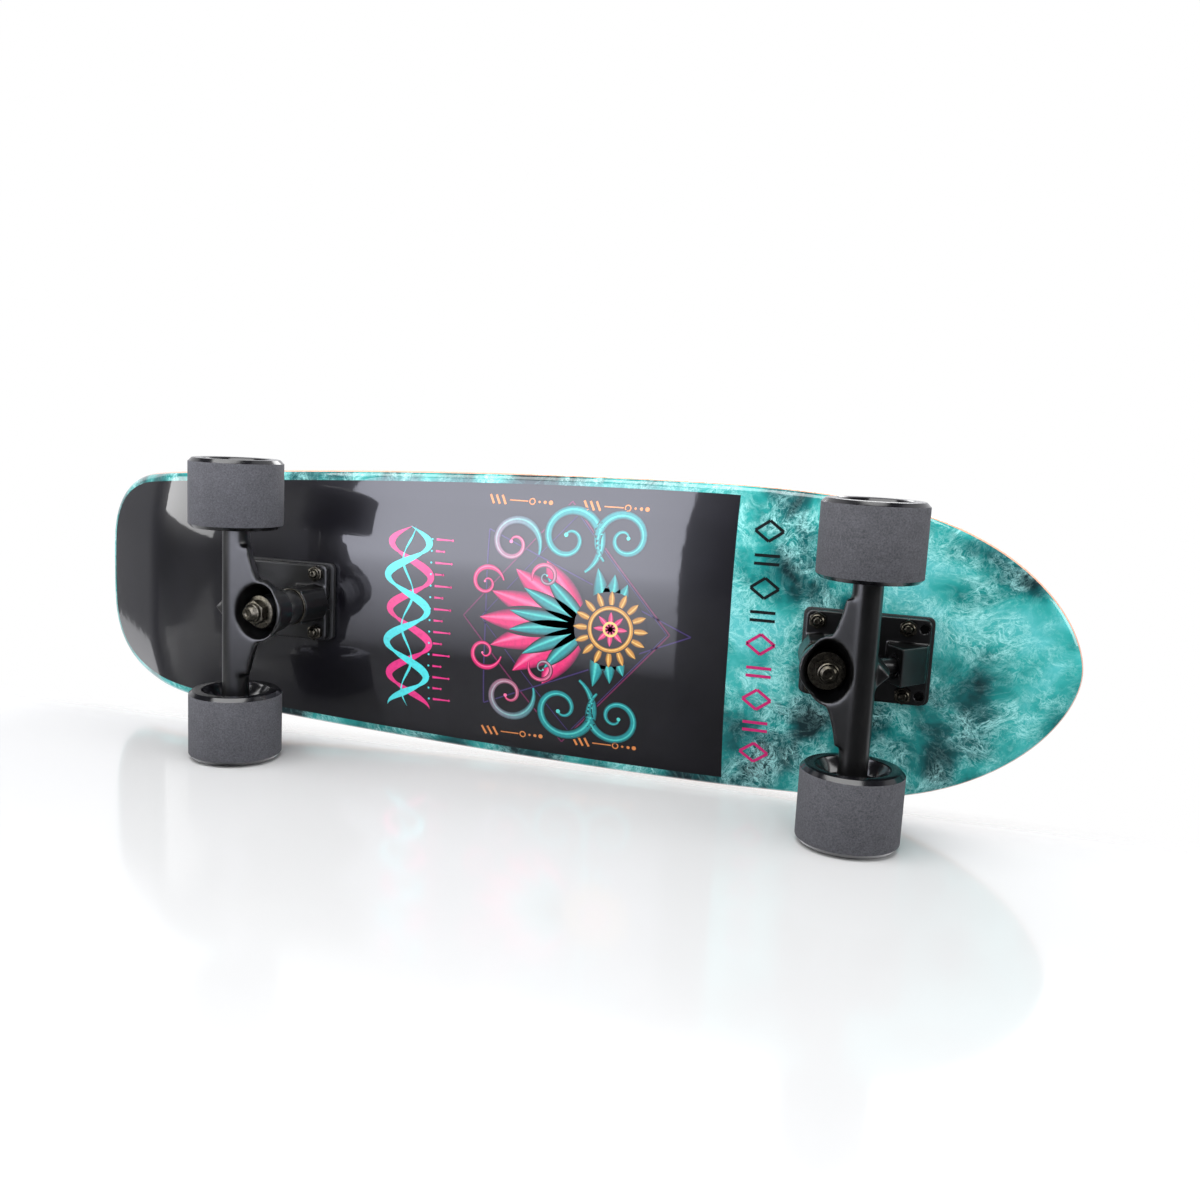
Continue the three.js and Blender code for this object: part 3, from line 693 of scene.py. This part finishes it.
def inkRibbon(bm, layers, path, width, tones, steps, level, lastTones=None):
    # a grid laid along a path: path(t) and width(t) in millimetres, t from 0 to 1
    lastTones = lastTones or tones
    made = bmesh.ops.create_grid(bm, x_segments=steps, y_segments=len(tones) - 1, size=1)["verts"]
    for vert in made:
        t = (vert.co.x + 1) / 2
        row = round((vert.co.y + 1) / 2 * (len(tones) - 1))
        here, ahead = Vector(path(max(t - 0.004, 0))), Vector(path(min(t + 0.004, 1)))
        along = (ahead - here).normalized()
        point = Vector(path(t)) + Vector((-along.y, along.x)) * tones[row][0] * width(t)
        first, last = Vector(colour(tones[row][1])), Vector(colour(lastTones[row][1]))
        vert[layers["ink"]] = first.lerp(last, t)
        vert[layers["level"]] = level
        vert.co = (point.x * mm, point.y * mm, 0)


def inkLine(bm, layers, start, end, width, tone, level, steps=8):
    path = lambda t: Vector(start).lerp(Vector(end), t)
    inkRibbon(bm, layers, path, lambda t: width / 2, plainTones(tone), steps, level)


def inkDisc(bm, layers, x, y, radius, tone, level):
    made = bmesh.ops.create_circle(bm, cap_ends=True, cap_tris=True, radius=radius * mm, segments=28)["verts"]
    for vert in made:
        vert[layers["ink"]] = Vector(colour(tone))
        vert[layers["level"]] = level
        vert.co += Vector((x, y, 0)) * mm


def inkRing(bm, layers, x, y, radius, width, tones, level, steps=48):
    circle = lambda t: (x + radius * math.cos(2 * math.pi * t), y + radius * math.sin(2 * math.pi * t))
    inkRibbon(bm, layers, circle, lambda t: width / 2, tones, steps, level)


def inkPetal(bm, layers, x, y, degrees, length, width, three, level, bend=0.0):
    angle = math.radians(degrees)
    axis, aside = Vector((math.cos(angle), math.sin(angle))), Vector((-math.sin(angle), math.cos(angle)))
    spine = lambda t: Vector((x, y)) + axis * length * t + aside * bend * math.sin(math.pi * t * 0.5) ** 2
    fullness = lambda t: max(0.12, width / 2 * math.sin(math.pi * (0.12 + 0.88 * t) ** 1.25) ** 0.85)
    inkRibbon(bm, layers, spine, fullness, inkTones(three), 22, level)


def inkScroll(bm, layers, x, y, side, radius, turns, startDegrees, width, first, last, level):
    # a spiral that tightens towards its own middle, mirrored with the side
    def spiral(t):
        r = radius * (1 - t) ** 1.15 + radius * 0.13
        angle = math.radians(startDegrees) + turns * 2 * math.pi * t
        return (x + r * math.cos(angle), side * (y + r * math.sin(angle)))
    taper = lambda t: max(0.35, width / 2 * (1 - 0.82 * t) * min(1, 0.25 + 6 * t))
    inkRibbon(bm, layers, spiral, taper, inkTones(first), 64, level, inkTones(last))
    end = spiral(1)
    inkDisc(bm, layers, end[0], end[1], width * 0.16, last[2], level + 1)


def makeLotus(bm, layers):
    for degrees, length in ((62, 50), (40, 60), (20, 68), (0, 74)):
        for sign in (1, -1) if degrees else (1,):
            bend = -sign * 5 if degrees else 0
            level = 3 - degrees / 20
            inkPetal(bm, layers, 20, 0, 180 + sign * degrees, length, 21, ink["pink"], level, bend)
    for degrees, length in ((51, 42), (30, 50), (10, 55)):
        for sign in (1, -1):
            inkPetal(bm, layers, 22, 0, 180 + sign * degrees, length, 11, ink["teal"], 5, -sign * 3)
    for degrees in (75, 92, 108):
        for sign in (1, -1):
            length = 40 - (degrees - 75) * 0.2
            inkPetal(bm, layers, 34, 0, 180 + sign * degrees, length, 13, ink["teal"], 2, sign * 4)


def makeRosette(bm, layers):
    x = 38
    inkDisc(bm, layers, x, 0, 25, ink["line"], 6)
    for i in range(16):
        angle = math.radians(i * 22.5)
        root = (x + 14 * math.cos(angle), 14 * math.sin(angle))
        inkPetal(bm, layers, *root, i * 22.5, 11.5, 5.4, ink["gold"], 7)
    inkRing(bm, layers, x, 0, 14.2, 4.2, inkTones(ink["gold"], 0.7), 8)
    inkDisc(bm, layers, x, 0, 12.2, "#1a0d18", 8)
    for i in range(8):
        inkPetal(bm, layers, x, 0, i * 45, 11.5, 4.6, ink["pink"], 9)
    inkRing(bm, layers, x, 0, 4.4, 1.6, plainTones(ink["gold"][2]), 10, 24)


def makeScrollwork(bm, layers):
    for side in (1, -1):
        inkScroll(bm, layers, 6, 58, side, 22, 1.55, -60, 9, ink["teal"], ink["teal"], 1)
        inkScroll(bm, layers, 44, 60, side, 18, -1.6, 230, 8, ink["teal"], ink["teal"], 1)
        inkScroll(bm, layers, -32, 52, side, 17, 1.5, -20, 7.5, ink["teal"], ink["pink"], 1)
        inkScroll(bm, layers, -50, 24, side, 11, 1.4, 10, 5, ink["pink"], ink["pink"], 1)
        inkScroll(bm, layers, -8, 31, side, 9, -1.4, 200, 4, ink["pink"], ink["teal"], 6)


def makeThinLines(bm, layers):
    corners = [(-66, 0), (6, 82), (78, 0), (6, -82)]
    wider = [(-50, -60), (-50, 60), (92, 0)]
    for shape, tone in ((corners, ink["faintPink"]), (wider, ink["faintViolet"])):
        for start, end in zip(shape, shape[1:] + shape[:1]):
            inkLine(bm, layers, start, end, 0.9, tone, 0, 24)
    for start, end in zip(corners, corners[1:] + corners[:1]):
        near, far = [Vector(point) * 0.9 + Vector((6, 0)) for point in (start, end)]
        inkLine(bm, layers, near, far, 0.6, ink["faintViolet"], 0, 24)


def makeOrangeMarks(bm, layers):
    for side in (1, -1):
        for x in (-52, 14):
            y = side * 80
            for i in range(3):
                inkLine(bm, layers, (x + i * 4.2, y - 3), (x + i * 4.2 + 3, y + 3), 1.5, ink["orange"], 1, 3)
            inkLine(bm, layers, (x + 14, y), (x + 27, y), 0.8, ink["orange"], 1, 6)
            inkRing(bm, layers, x + 30, y, 1.9, 0.8, plainTones(ink["orange"]), 1, 20)
            for i, radius in enumerate((0.8, 1.1, 1.5)):
                inkDisc(bm, layers, x + 35 + i * 4, y, radius, ink["orange"], 1)


braid = {"x": -108, "start": -58, "length": 128, "turns": 2.75}


def makeBrushStroke(bm, layers):
    # an open braid of two loaded brush passes across the board, with even runs beside it
    def brushPath(reach, phase, slip):
        return lambda t: (braid["x"] + slip + reach * math.sin(math.tau * braid["turns"] * t + phase),
                          braid["start"] + braid["length"] * t)

    def body(widest):
        return lambda t: (widest * (0.35 + 0.65 * abs(math.sin(math.tau * braid["turns"] * t + 0.7)))
                          * min(1, 12 * t, 12 * (1 - t)))

    for reach, phase, slip, widest, tone, level in (
            (15, math.pi, 2, 2.9, "magenta", 1), (15, 0, 0, 2.9, "cyan", 3), (4, 1.6, 0, 0.9, "cyan", 2)):
        inkRibbon(bm, layers, brushPath(reach, phase, slip), body(widest), plainTones(ink[tone]), 240, level)
    for i in range(15):
        x, y = -88, -50 + i * 8
        run = 9 + 3 * math.cos(i * math.pi)
        drip = lambda u: (x + run * u, y)
        inkRibbon(bm, layers, drip, lambda u: 0.8 - 0.4 * u, plainTones(ink["magenta"]), 6, 2)
        inkDisc(bm, layers, x + run, y, 0.8, ink["magenta"], 2)
        inkDisc(bm, layers, x - 3, y, 0.7, ink["cyan"], 2)


def makeBorderMarks(bm, layers):
    # a column of plain diamonds and bars ahead of the panel
    for i in range(9):
        y = -72 + i * 18
        tone = "#0b1416" if i < 4 else "#c2206b"
        if i % 2 == 0:
            points = [(128, y), (137, y - 6.5), (146, y), (137, y + 6.5)]
            for start, end in zip(points, points[1:] + points[:1]):
                inkLine(bm, layers, start, end, 1.9, tone, 1, 4)
        else:
            inkLine(bm, layers, (129, y - 2.6), (145, y - 2.6), 1.9, tone, 1, 5)
            inkLine(bm, layers, (129, y + 2.6), (145, y + 2.6), 1.9, tone, 1, 5)


def makeGraphic():
    bm = bmesh.new()
    layers = {"ink": bm.verts.layers.float_color.new("ink"), "level": bm.verts.layers.float.new("level")}
    for draw in (makeThinLines, makeOrangeMarks, makeScrollwork, makeLotus, makeRosette,
                 makeBrushStroke, makeBorderMarks):
        draw(bm, layers)
    bm.normal_update()
    bmesh.ops.reverse_faces(bm, faces=[f for f in bm.faces if f.normal.z > 0])
    flatMap = bm.loops.layers.uv.new("flat")
    for face in bm.faces:
        for loop in face.loops:
            loop[flatMap].uv = loop.vert.co.xy
    for vert in bm.verts:
        vert.co = pressed(vert.co.x / mm, vert.co.y / mm, ink["level"] - ink["layer"] * vert[layers["level"]])
    piece = newPiece("printed_graphic", bm, [finishes["ink"]])
    piece.data.shade_smooth()
    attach(piece, "deck")


makeDeck()
makeGrip()
makeGraphic()
print("deck, grip and graphic made")


riser = {"length": 79, "width": 54.5, "thick": 3.8, "corner": 4, "edge": 0.6, "level": 57.9}


def makeRiser(end):
    bm = bmesh.new()
    bmesh.ops.create_cube(bm, size=1.0)
    bmesh.ops.scale(bm, vec=Vector((riser["length"], riser["width"], riser["thick"])) * mm, verts=bm.verts)
    upright = [e for e in bm.edges if abs((e.verts[0].co - e.verts[1].co).z) > 1e-5]
    bmesh.ops.bevel(bm, geom=upright, offset=riser["corner"] * mm, segments=6, profile=0.5,
                    affect="EDGES", material=-1)
    rims = [e for e in bm.edges if abs(e.verts[0].co.z - e.verts[1].co.z) < 1e-6 and len(e.link_faces) == 2
            and abs(e.link_faces[0].normal.dot(e.link_faces[1].normal)) < 0.1]
    bmesh.ops.bevel(bm, geom=rims, offset=riser["edge"] * mm, segments=3, profile=0.5,
                    affect="EDGES", material=-1)
    lift = Matrix.Translation((0, 0, (riser["level"] + riser["thick"] / 2) * mm))
    finishPiece("riser_" + end, bm, "deck", [finishes["rubber"]], ["riser_pad_" + end], 40,
                truckPlace(end) @ lift)


casting = {"plateVoxel": 0.6, "platePasses": 3, "hangerVoxel": 0.8, "hangerPasses": 14}


def makeCastings(end):
    for name, node, body, voxel, passes in (
        ("cast_plate_", "baseplate_", "deck", casting["plateVoxel"], casting["platePasses"]),
        ("cast_hanger_", "hanger_", "truck_" + end, casting["hangerVoxel"], casting["hangerPasses"]),
    ):
        bm = bmesh.new()
        softCasting(bm, node + end, voxel, passes)
        finishPiece(name + end, bm, body, [finishes["casting"]], [node + end], 80)


stack = {
    "pinRadius": 4.75, "pinLength": 58, "headHeight": 5.5, "headFlats": 14.3, "threadLength": 13,
    "nutLevel": 3.4, "nutHeight": 7.6, "nutFlats": 14.3, "washer": 1.5, "roadWasher": 11,
    "boardWasher": 12.5, "coneHeight": 9.8, "coneNarrow": 8.2, "coneWide": 11, "ring": 5.5,
    "barrelHeight": 12.6, "barrel": 12, "bore": 5.0, "gap": 0.1,
}


def leanWithHanger(bushing):
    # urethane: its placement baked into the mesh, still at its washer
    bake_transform(bushing)


def makeKingpinStack(end):
    place = kingpinPlace(end)
    s = stack
    washerLevel = s["nutLevel"] + s["nutHeight"] + s["gap"]
    coneLevel = washerLevel + s["washer"] + s["gap"]
    barrelLevel = coneLevel + s["coneHeight"] + s["ring"] + 2 * s["gap"]
    topWasherLevel = barrelLevel + s["barrelHeight"] + s["gap"]

    bm = bmesh.new()  # pin: dimpled end, thread, shank
    profile = [(0, 0.9), (1.6, 0.9), (2.3, 0.0), (3.7, 0.0), (4.3, 0.5)]
    profile += threaded(s["pinRadius"], 0.6, s["threadLength"])
    shank = s["pinRadius"]
    profile += [(shank, s["threadLength"] + 1), (shank, s["pinLength"]), (0, s["pinLength"])]
    spunProfile(bm, profile, 32)
    headLow = hexLoop(bm, s["headFlats"], s["pinLength"])
    headHigh = hexLoop(bm, s["headFlats"], s["pinLength"] + s["headHeight"])
    bmesh.ops.bridge_loops(bm, edges=headLow + headHigh)
    bmesh.ops.holes_fill(bm, edges=headHigh, sides=0)
    bmesh.ops.holes_fill(bm, edges=headLow, sides=0)
    steelPiece("threaded_kingpin_" + end, bm, "deck", ["kingpin_" + end], place, 35)

    bm = bmesh.new()
    makeNut(bm, s["nutFlats"], s["nutHeight"], s["bore"] - 0.15, 2.2, 6.1)
    flip = Matrix.Translation((0, 0, (s["nutLevel"] + s["nutHeight"]) * mm)) @ upsideDown
    steelPiece("lock_kingpin_nut_" + end, bm, "deck", ["kingpin_nut_" + end], place @ flip)

    for name, node, radius, level in (
        ("cup_washer_road_", "road_washer_", s["roadWasher"], washerLevel),
        ("cup_washer_board_", "board_washer_", s["boardWasher"], topWasherLevel),
    ):
        bm = bmesh.new()
        t = s["washer"]
        spunProfile(bm, [
            (s["bore"], level), (radius - 0.5, level), (radius - 0.12, level + 0.2), (radius, level + 0.6),
            (radius, level + t - 0.3), (radius - 0.3, level + t), (s["bore"], level + t),
        ], 48, True)
        steelPiece(name + end, bm, "deck", [node + end], place)

    bm = bmesh.new()
    c, h, thin, thick = coneLevel, s["coneHeight"], s["coneNarrow"], s["coneWide"]
    spunProfile(bm, [
        (s["bore"], c), (thin - 0.8, c), (thin - 0.2, c + 0.25), (thin, c + 0.9),
        (thick - 0.15, c + h - 0.9), (thick - 0.25, c + h - 0.3), (thick - 0.9, c + h), (s["bore"], c + h),
    ], 48, True)
    cone = finishPiece("cone_bushing_" + end, bm, None, [finishes["bushing"]],
                       ["road_bushing_" + end], 50, place)
    leanWithHanger(cone)

    bm = bmesh.new()
    c, h, r = barrelLevel, s["barrelHeight"], s["barrel"]
    spunProfile(bm, [
        (s["bore"], c), (r - 1.4, c), (r - 0.6, c + 0.25), (r - 0.2, c + 1.0), (r, c + h / 2),
        (r - 0.2, c + h - 1.0), (r - 0.6, c + h - 0.25), (r - 1.4, c + h), (s["bore"], c + h),
    ], 48, True)
    barrel = finishPiece("barrel_bushing_" + end, bm, None, [finishes["bushing"]],
                         ["board_bushing_" + end], 50, place)
    leanWithHanger(barrel)


bolt = {
    "rows": {"inner": 30.1, "outer": -23.9}, "spacing": 41.3, "radius": 2.4, "head": 4.7, "headHeight": 2.7,
    "nutFlats": 9.5, "nutHeight": 5.6, "tipPast": 1.4, "plateUnder": 51.8, "gripTop": 73.7,
}


def makeFasteners(end):
    nutTop = bolt["plateUnder"] - 0.1
    tip = nutTop - bolt["nutHeight"] - bolt["tipPast"]
    top = bolt["gripTop"]
    for row, x in bolt["rows"].items():
        for side, y in sides.items():
            spot = Vector((x, ends[end] * y * bolt["spacing"] / 2, 0)) * mm
            place = truckPlace(end) @ Matrix.Translation(spot)
            label = "%s_%s_%s" % (end, row, side)
            bm = bmesh.new()
            profile = [(0, tip + 0.3), (1.5, tip), (2.0, tip + 0.2)]
            profile += threaded(bolt["radius"], tip + 0.3, 12, 0.8, 0.35)
            profile += [
                (bolt["radius"], tip + 13), (bolt["radius"], top - bolt["headHeight"]),
                (bolt["head"] - 0.15, top - 0.25), (bolt["head"] - 0.35, top - 0.02),
                (2.0, top - 0.02), (1.75, top - 1.6), (0, top - 1.9),
            ]
            spunProfile(bm, profile, 24)
            sockets = [v for v in bm.verts if v.co.z > (top - 2.0) * mm and 1.5 < v.co.xy.length / mm < 2.1]
            for vert in sockets:  # draw the driver socket to a hexagon
                vert.co.xy *= 0.9 / math.cos(fromFlat(math.atan2(vert.co.y, vert.co.x)))
            steelPiece("bolt_" + label, bm, "deck", ["deck_bolt_" + label], place)
            bm = bmesh.new()
            makeNut(bm, bolt["nutFlats"], bolt["nutHeight"], bolt["radius"] + 0.05, 1.8, 4.1)
            flip = Matrix.Translation((0, 0, nutTop * mm)) @ upsideDown
            steelPiece("nylon_lock_nut_" + label, bm, "deck", ["lock_nut_" + label], place @ flip)


axle = {"radius": 4, "half": 97.5, "thread": 15, "nutFlats": 12.7, "nutHeight": 7.5}
wheel = {
    "radius": 30, "width": 45, "lip": 2.4, "recess": 21.5, "recessDepth": 3.2, "seat": 11.1, "shoulder": 9.5,
    "core": 15.5,
}
bearing = {"outer": 11, "bore": 4.15, "width": 6.8, "pitch": 17, "sealIn": 5.9, "sealOut": 9.6}
layDown = Matrix.Rotation(-math.pi / 2, 4, "X")  # turns +Z to +Y


def makeAxle(end):
    bm = bmesh.new()
    a = axle
    upper = [(a["radius"], 0), (a["radius"], a["half"] - a["thread"])]
    upper += threaded(a["radius"], a["half"] - a["thread"], a["thread"] - 1, 1.0, 0.4)
    upper += [(a["radius"] - 0.8, a["half"]), (0, a["half"])]
    lower = [(r, -z) for r, z in reversed(upper[1:])]
    spunProfile(bm, lower + upper, 28)
    steelPiece("threaded_axle_" + end, bm, "truck_" + end, ["axle_" + end], truckPlace(end) @ layDown)


def makeWheel(end, side):
    label = end + "_" + side
    w = wheel
    face = w["width"] / 2
    out = sides[side]
    centre = boxMiddle("wheel_" + label)
    place = Matrix.Translation((centre.x, centre.y, axleMiddle[end].z)) @ layDown
    half = [
        (w["shoulder"], 4.9), (w["seat"], 5.0), (w["seat"], 12.1), (w["seat"] + 0.5, 12.6),
        (w["core"], 13.2), (w["core"] + 1.0, 13.9),
        (w["recess"] - 3.4, face - w["recessDepth"] - 1.6), (w["recess"] - 1.2, face - 2.2),
        (w["recess"] - 0.3, face - 0.5), (w["recess"] + 0.5, face - 0.05), (w["recess"] + 1.4, face),
        (w["radius"] - w["lip"] - 0.5, face), (w["radius"] - w["lip"], face - 0.15),
        (w["radius"] - 0.55, face - w["lip"] + 0.35), (w["radius"] - 0.15, face - w["lip"]),
        (w["radius"], face - w["lip"] - 0.4),
    ]
    bm = bmesh.new()
    profile = [(r, -z) for r, z in half] + [(w["radius"], 0)] + list(reversed(half))
    spunProfile(bm, profile, 96, True)
    bm.normal_update()
    for f in bm.faces:
        flatOut = f.calc_center_median().xy.length > (w["radius"] - 0.3) * mm
        f.material_index = 0 if flatOut and abs(f.calc_center_median().z) < (face - w["lip"]) * mm else 1
    finishPiece("turned_wheel_" + label, bm, "wheel_" + label, [finishes["tread"], finishes["side"]],
                ["wheel_" + label], 25, place)

    for name, offset in (("inner", -out), ("outer", out)):
        b = bearing
        h = b["width"] / 2
        bm = bmesh.new()
        lower = [
            (b["bore"], -h + 0.3), (b["bore"] + 0.3, -h), (b["sealIn"], -h), (b["sealIn"], -h + 0.35),
            (b["sealOut"], -h + 0.35), (b["sealOut"], -h), (b["outer"] - 0.4, -h), (b["outer"], -h + 0.4),
        ]
        spunProfile(bm, lower + [(r, -z) for r, z in reversed(lower)], 48, True)
        for f in bm.faces:
            mid = f.calc_center_median()
            seal = b["sealIn"] + 0.3 < mid.xy.length / mm < b["sealOut"] - 0.2
            f.material_index = 1 if seal else 0
        shift = Matrix.Translation((0, 0, offset * b["pitch"] / 2 * mm))
        spot = label + "_" + name
        finishPiece("sealed_bearing_" + spot, bm, "wheel_" + label,
                    [finishes["ground"], finishes["rubber"]], ["bearing_" + spot], 30, place @ shift)

    reach = out * (b["pitch"] / 2 + b["width"] / 2 + 0.2)  # wheel's middle to the far side of a bearing
    inner = centre.y / mm - reach
    outer = centre.y / mm + reach
    for name, start, direction in (("inner", inner, -out), ("outer", outer, out)):
        bm = bmesh.new()
        spunProfile(bm, [(4.1, 0), (6.1, 0), (6.3, 0.15), (6.3, 0.75), (6.1, 0.9), (4.1, 0.9)], 32, True)
        turn = layDown if direction > 0 else layDown @ upsideDown
        spot = Matrix.Translation((centre.x, start * mm, axleMiddle[end].z)) @ turn
        steelPiece("speed_washer_%s_%s" % (label, name), bm, "truck_" + end, (), spot)

    low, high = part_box("axle_nut_" + label)
    bm = bmesh.new()
    makeNut(bm, axle["nutFlats"], axle["nutHeight"] - 0.05, axle["radius"] + 0.05, 2.2, 5.4)
    turn = layDown if out > 0 else layDown @ upsideDown
    seat = low[1] if out > 0 else high[1]
    spot = Matrix.Translation((centre.x, seat, axleMiddle[end].z)) @ turn
    steelPiece("nylon_axle_nut_" + label, bm, "truck_" + end, ["axle_nut_" + label], spot)


for end in ends:
    makeRiser(end)
    makeCastings(end)
    makeKingpinStack(end)
    makeFasteners(end)
    makeAxle(end)
    for side in sides:
        makeWheel(end, side)
    print(end + " truck made")


def keepNode(node, finish):
    # a hidden piece that stays as it was packed, with its own finish
    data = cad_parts[node].data
    data.materials.clear()
    data.materials.append(finishes[finish])


for end in ends:
    keepNode("pivot_cup_" + end, "bushing")
    for side in sides:
        keepNode("bearing_spacer_%s_%s" % (end, side), "ground")


def fadedShader(material, surface, shown):
    clear = addNode(material, "ShaderNodeBsdfTransparent")
    back = addNode(material, "ShaderNodeNewGeometry").outputs["Backfacing"]
    front = opposite(material, back)
    mix = addNode(material, "ShaderNodeMixShader", None,
                  {"Fac": times(material, shown, front), 1: clear.outputs[0], 2: surface})
    output = addNode(material, "ShaderNodeOutputMaterial")
    plug(material, mix.outputs[0], output.inputs["Surface"])


def stageSheet(name, size, place):
    bm = bmesh.new()
    bmesh.ops.create_grid(bm, x_segments=1, y_segments=1, size=1)
    bmesh.ops.transform(bm, matrix=place @ Matrix.Diagonal((size[0], size[1], 1, 1)), verts=bm.verts)
    material = emptyMaterial(name + " paint")
    newPiece(name, bm, [material])
    return material


def makeFloorSheet(name, place, white, gloss, glossySeen):
    # a floor that fades out with distance and shows from its front only
    material = stageSheet(name, (6.0, 6.0), place)
    coat = {"Base Color": white, "Roughness": gloss, "IOR": 1.45}
    paint = addNode(material, "ShaderNodeBsdfPrincipled", coat)
    path = addNode(material, "ShaderNodeLightPath")
    spot = addNode(material, "ShaderNodeSeparateXYZ", None, {0: objectCoords(material)})
    dim = ranged(material, spot.outputs[0], -0.02, 0.16, glossySeen, glossySeen * 0.3)
    inGloss = times(material, path.outputs["Is Glossy Ray"], dim)
    seen = addMath(material, "MAXIMUM", path.outputs["Is Camera Ray"], inGloss)
    coords = {0: objectCoords(material)}
    reach = addNode(material, "ShaderNodeVectorMath", {"operation": "LENGTH"}, coords).outputs["Value"]
    near = ranged(material, reach, 0.35, 1.3, 1.0, 0.0, "SMOOTHSTEP")
    low = ranged(material, spot.outputs[2], 0.07, 0.125, 1.0, 0.0, "SMOOTHSTEP")
    shown = times(material, times(material, seen, near), low)
    fadedShader(material, paint.outputs[0], shown)


def makeGlowCard(name, low, high, distance, power):
    # a bright card facing the underside, dimming towards the floor, that only shows in gloss
    corners = [fromPrintSide(x, y, distance) for x, y in (low, high)]
    size = (abs(corners[1].x - corners[0].x) / 2, abs(corners[1].y - corners[0].y) / 2)
    material = stageSheet(name, size, Matrix.Translation((corners[0] + corners[1]) / 2))
    across = addNode(material, "ShaderNodeSeparateXYZ", None, {0: objectCoords(material)})
    bright, dark = [fromPrintSide(0, y, 0).y for y in (30, -92)]
    fall = ranged(material, across.outputs[1], bright, dark, 1.0, 0.0)
    light = addNode(material, "ShaderNodeEmission", {"Color": colour("#eef0ff"), "Strength": power})
    gloss = addNode(material, "ShaderNodeLightPath").outputs["Is Glossy Ray"]
    fadedShader(material, light.outputs[0], times(material, gloss, fall))


def makeBackCard(name, distance, power):
    # white behind the board, seen only where the floor or an edge mirrors it
    behind = Matrix.Translation(fromPrintSide(0, 0, -distance))
    material = stageSheet(name, (6.0, 6.0), behind @ upsideDown)
    light = addNode(material, "ShaderNodeEmission", {"Color": colour("#fbfbff"), "Strength": power})
    fadedShader(material, light.outputs[0], addNode(material, "ShaderNodeLightPath").outputs["Is Glossy Ray"])


def fromPrintSide(x, y, z):
    # a point from the middle of the wheelbase: x to the nose, y away from the side floor,
    # z out of the underside
    return Vector((boardMiddle + x * mm, -y * mm, deckUnderside - z * mm))


def addSoftbox(name, where, aim, size, power):
    lamp = bpy.data.lights.new(name, "AREA")
    lamp.shape = "RECTANGLE"
    lamp.size, lamp.size_y = size[0] * mm, size[1] * mm
    lamp.energy = power
    thing = bpy.data.objects.new(name, lamp)
    thing.location = where
    thing.rotation_euler = (aim - where).to_track_quat("-Z", "Y").to_euler()
    scene.collection.objects.link(thing)


sideFloor = Matrix.Translation((0, cadBox[1][1] + 0.0003, 0)) @ Matrix.Rotation(math.pi / 2, 4, "X")
makeFloorSheet("side_floor", sideFloor, grey(0.52), 0.1, 0.36)
makeFloorSheet("ground_floor", Matrix.Translation((0, 0, -0.0003)), grey(0.8), 0.55, 0.0)
makeGlowCard("panel_glow", (-300, -98), (32, 300), 250, 6.2)
makeBackCard("back_card", 1500, 1.0)

middle = fromPrintSide(0, 0, 0)
addSoftbox("overhead_box", fromPrintSide(-150, 1250, 500), middle, (1500, 900), 26)
addSoftbox("left_box", fromPrintSide(-1300, 300, 700), middle, (500, 1100), 9)
addSoftbox("right_box", fromPrintSide(1500, 500, 300), middle, (500, 1000), 9)
addSoftbox("grip_box", fromPrintSide(0, 700, -1500), middle, (1200, 900), 20)

world = bpy.data.worlds.new("pale studio")
scene.world = world
world.use_nodes = True
world.node_tree.nodes.clear()
path = addNode(world, "ShaderNodeLightPath")
room = addNode(world, "ShaderNodeBackground", {"Color": colour("#f2f4f8"), "Strength": 0.8})
flagged = addNode(world, "ShaderNodeBackground", {"Color": colour("#e9eaf6"), "Strength": 0.1})
backdrop = addNode(world, "ShaderNodeBackground", {"Color": colour("#ffffff"), "Strength": 1.0})
dimmed = addNode(world, "ShaderNodeMixShader", None,
                 {"Fac": path.outputs["Is Glossy Ray"], 1: room.outputs[0], 2: flagged.outputs[0]})
choose = addNode(world, "ShaderNodeMixShader", None,
                 {"Fac": path.outputs["Is Camera Ray"], 1: dimmed.outputs[0], 2: backdrop.outputs[0]})
worldOutput = addNode(world, "ShaderNodeOutputWorld")
world.node_tree.links.new(choose.outputs[0], worldOutput.inputs["Surface"])
scene.view_settings.view_transform = "Standard"

view = {
    "place": (258.736, -127.987, -612.158), "lens": 33.656,
    "right": (0.96088, -0.05139, 0.27214), "up": (-0.08922, -0.98769, 0.12852),
    "back": (0.26219, -0.14778, -0.95364),
}
cameraData = bpy.data.cameras.new("studio_camera")
cameraData.lens = view["lens"]
cameraData.sensor_width = 36
cameraData.clip_start = 0.01
camera = bpy.data.objects.new("studio_camera", cameraData)
turn = Matrix((view["right"], view["up"], view["back"])).transposed().to_4x4()
camera.matrix_world = Matrix.Translation(Vector(view["place"]) * mm) @ turn
scene.collection.objects.link(camera)
scene.camera = camera
print("studio made")
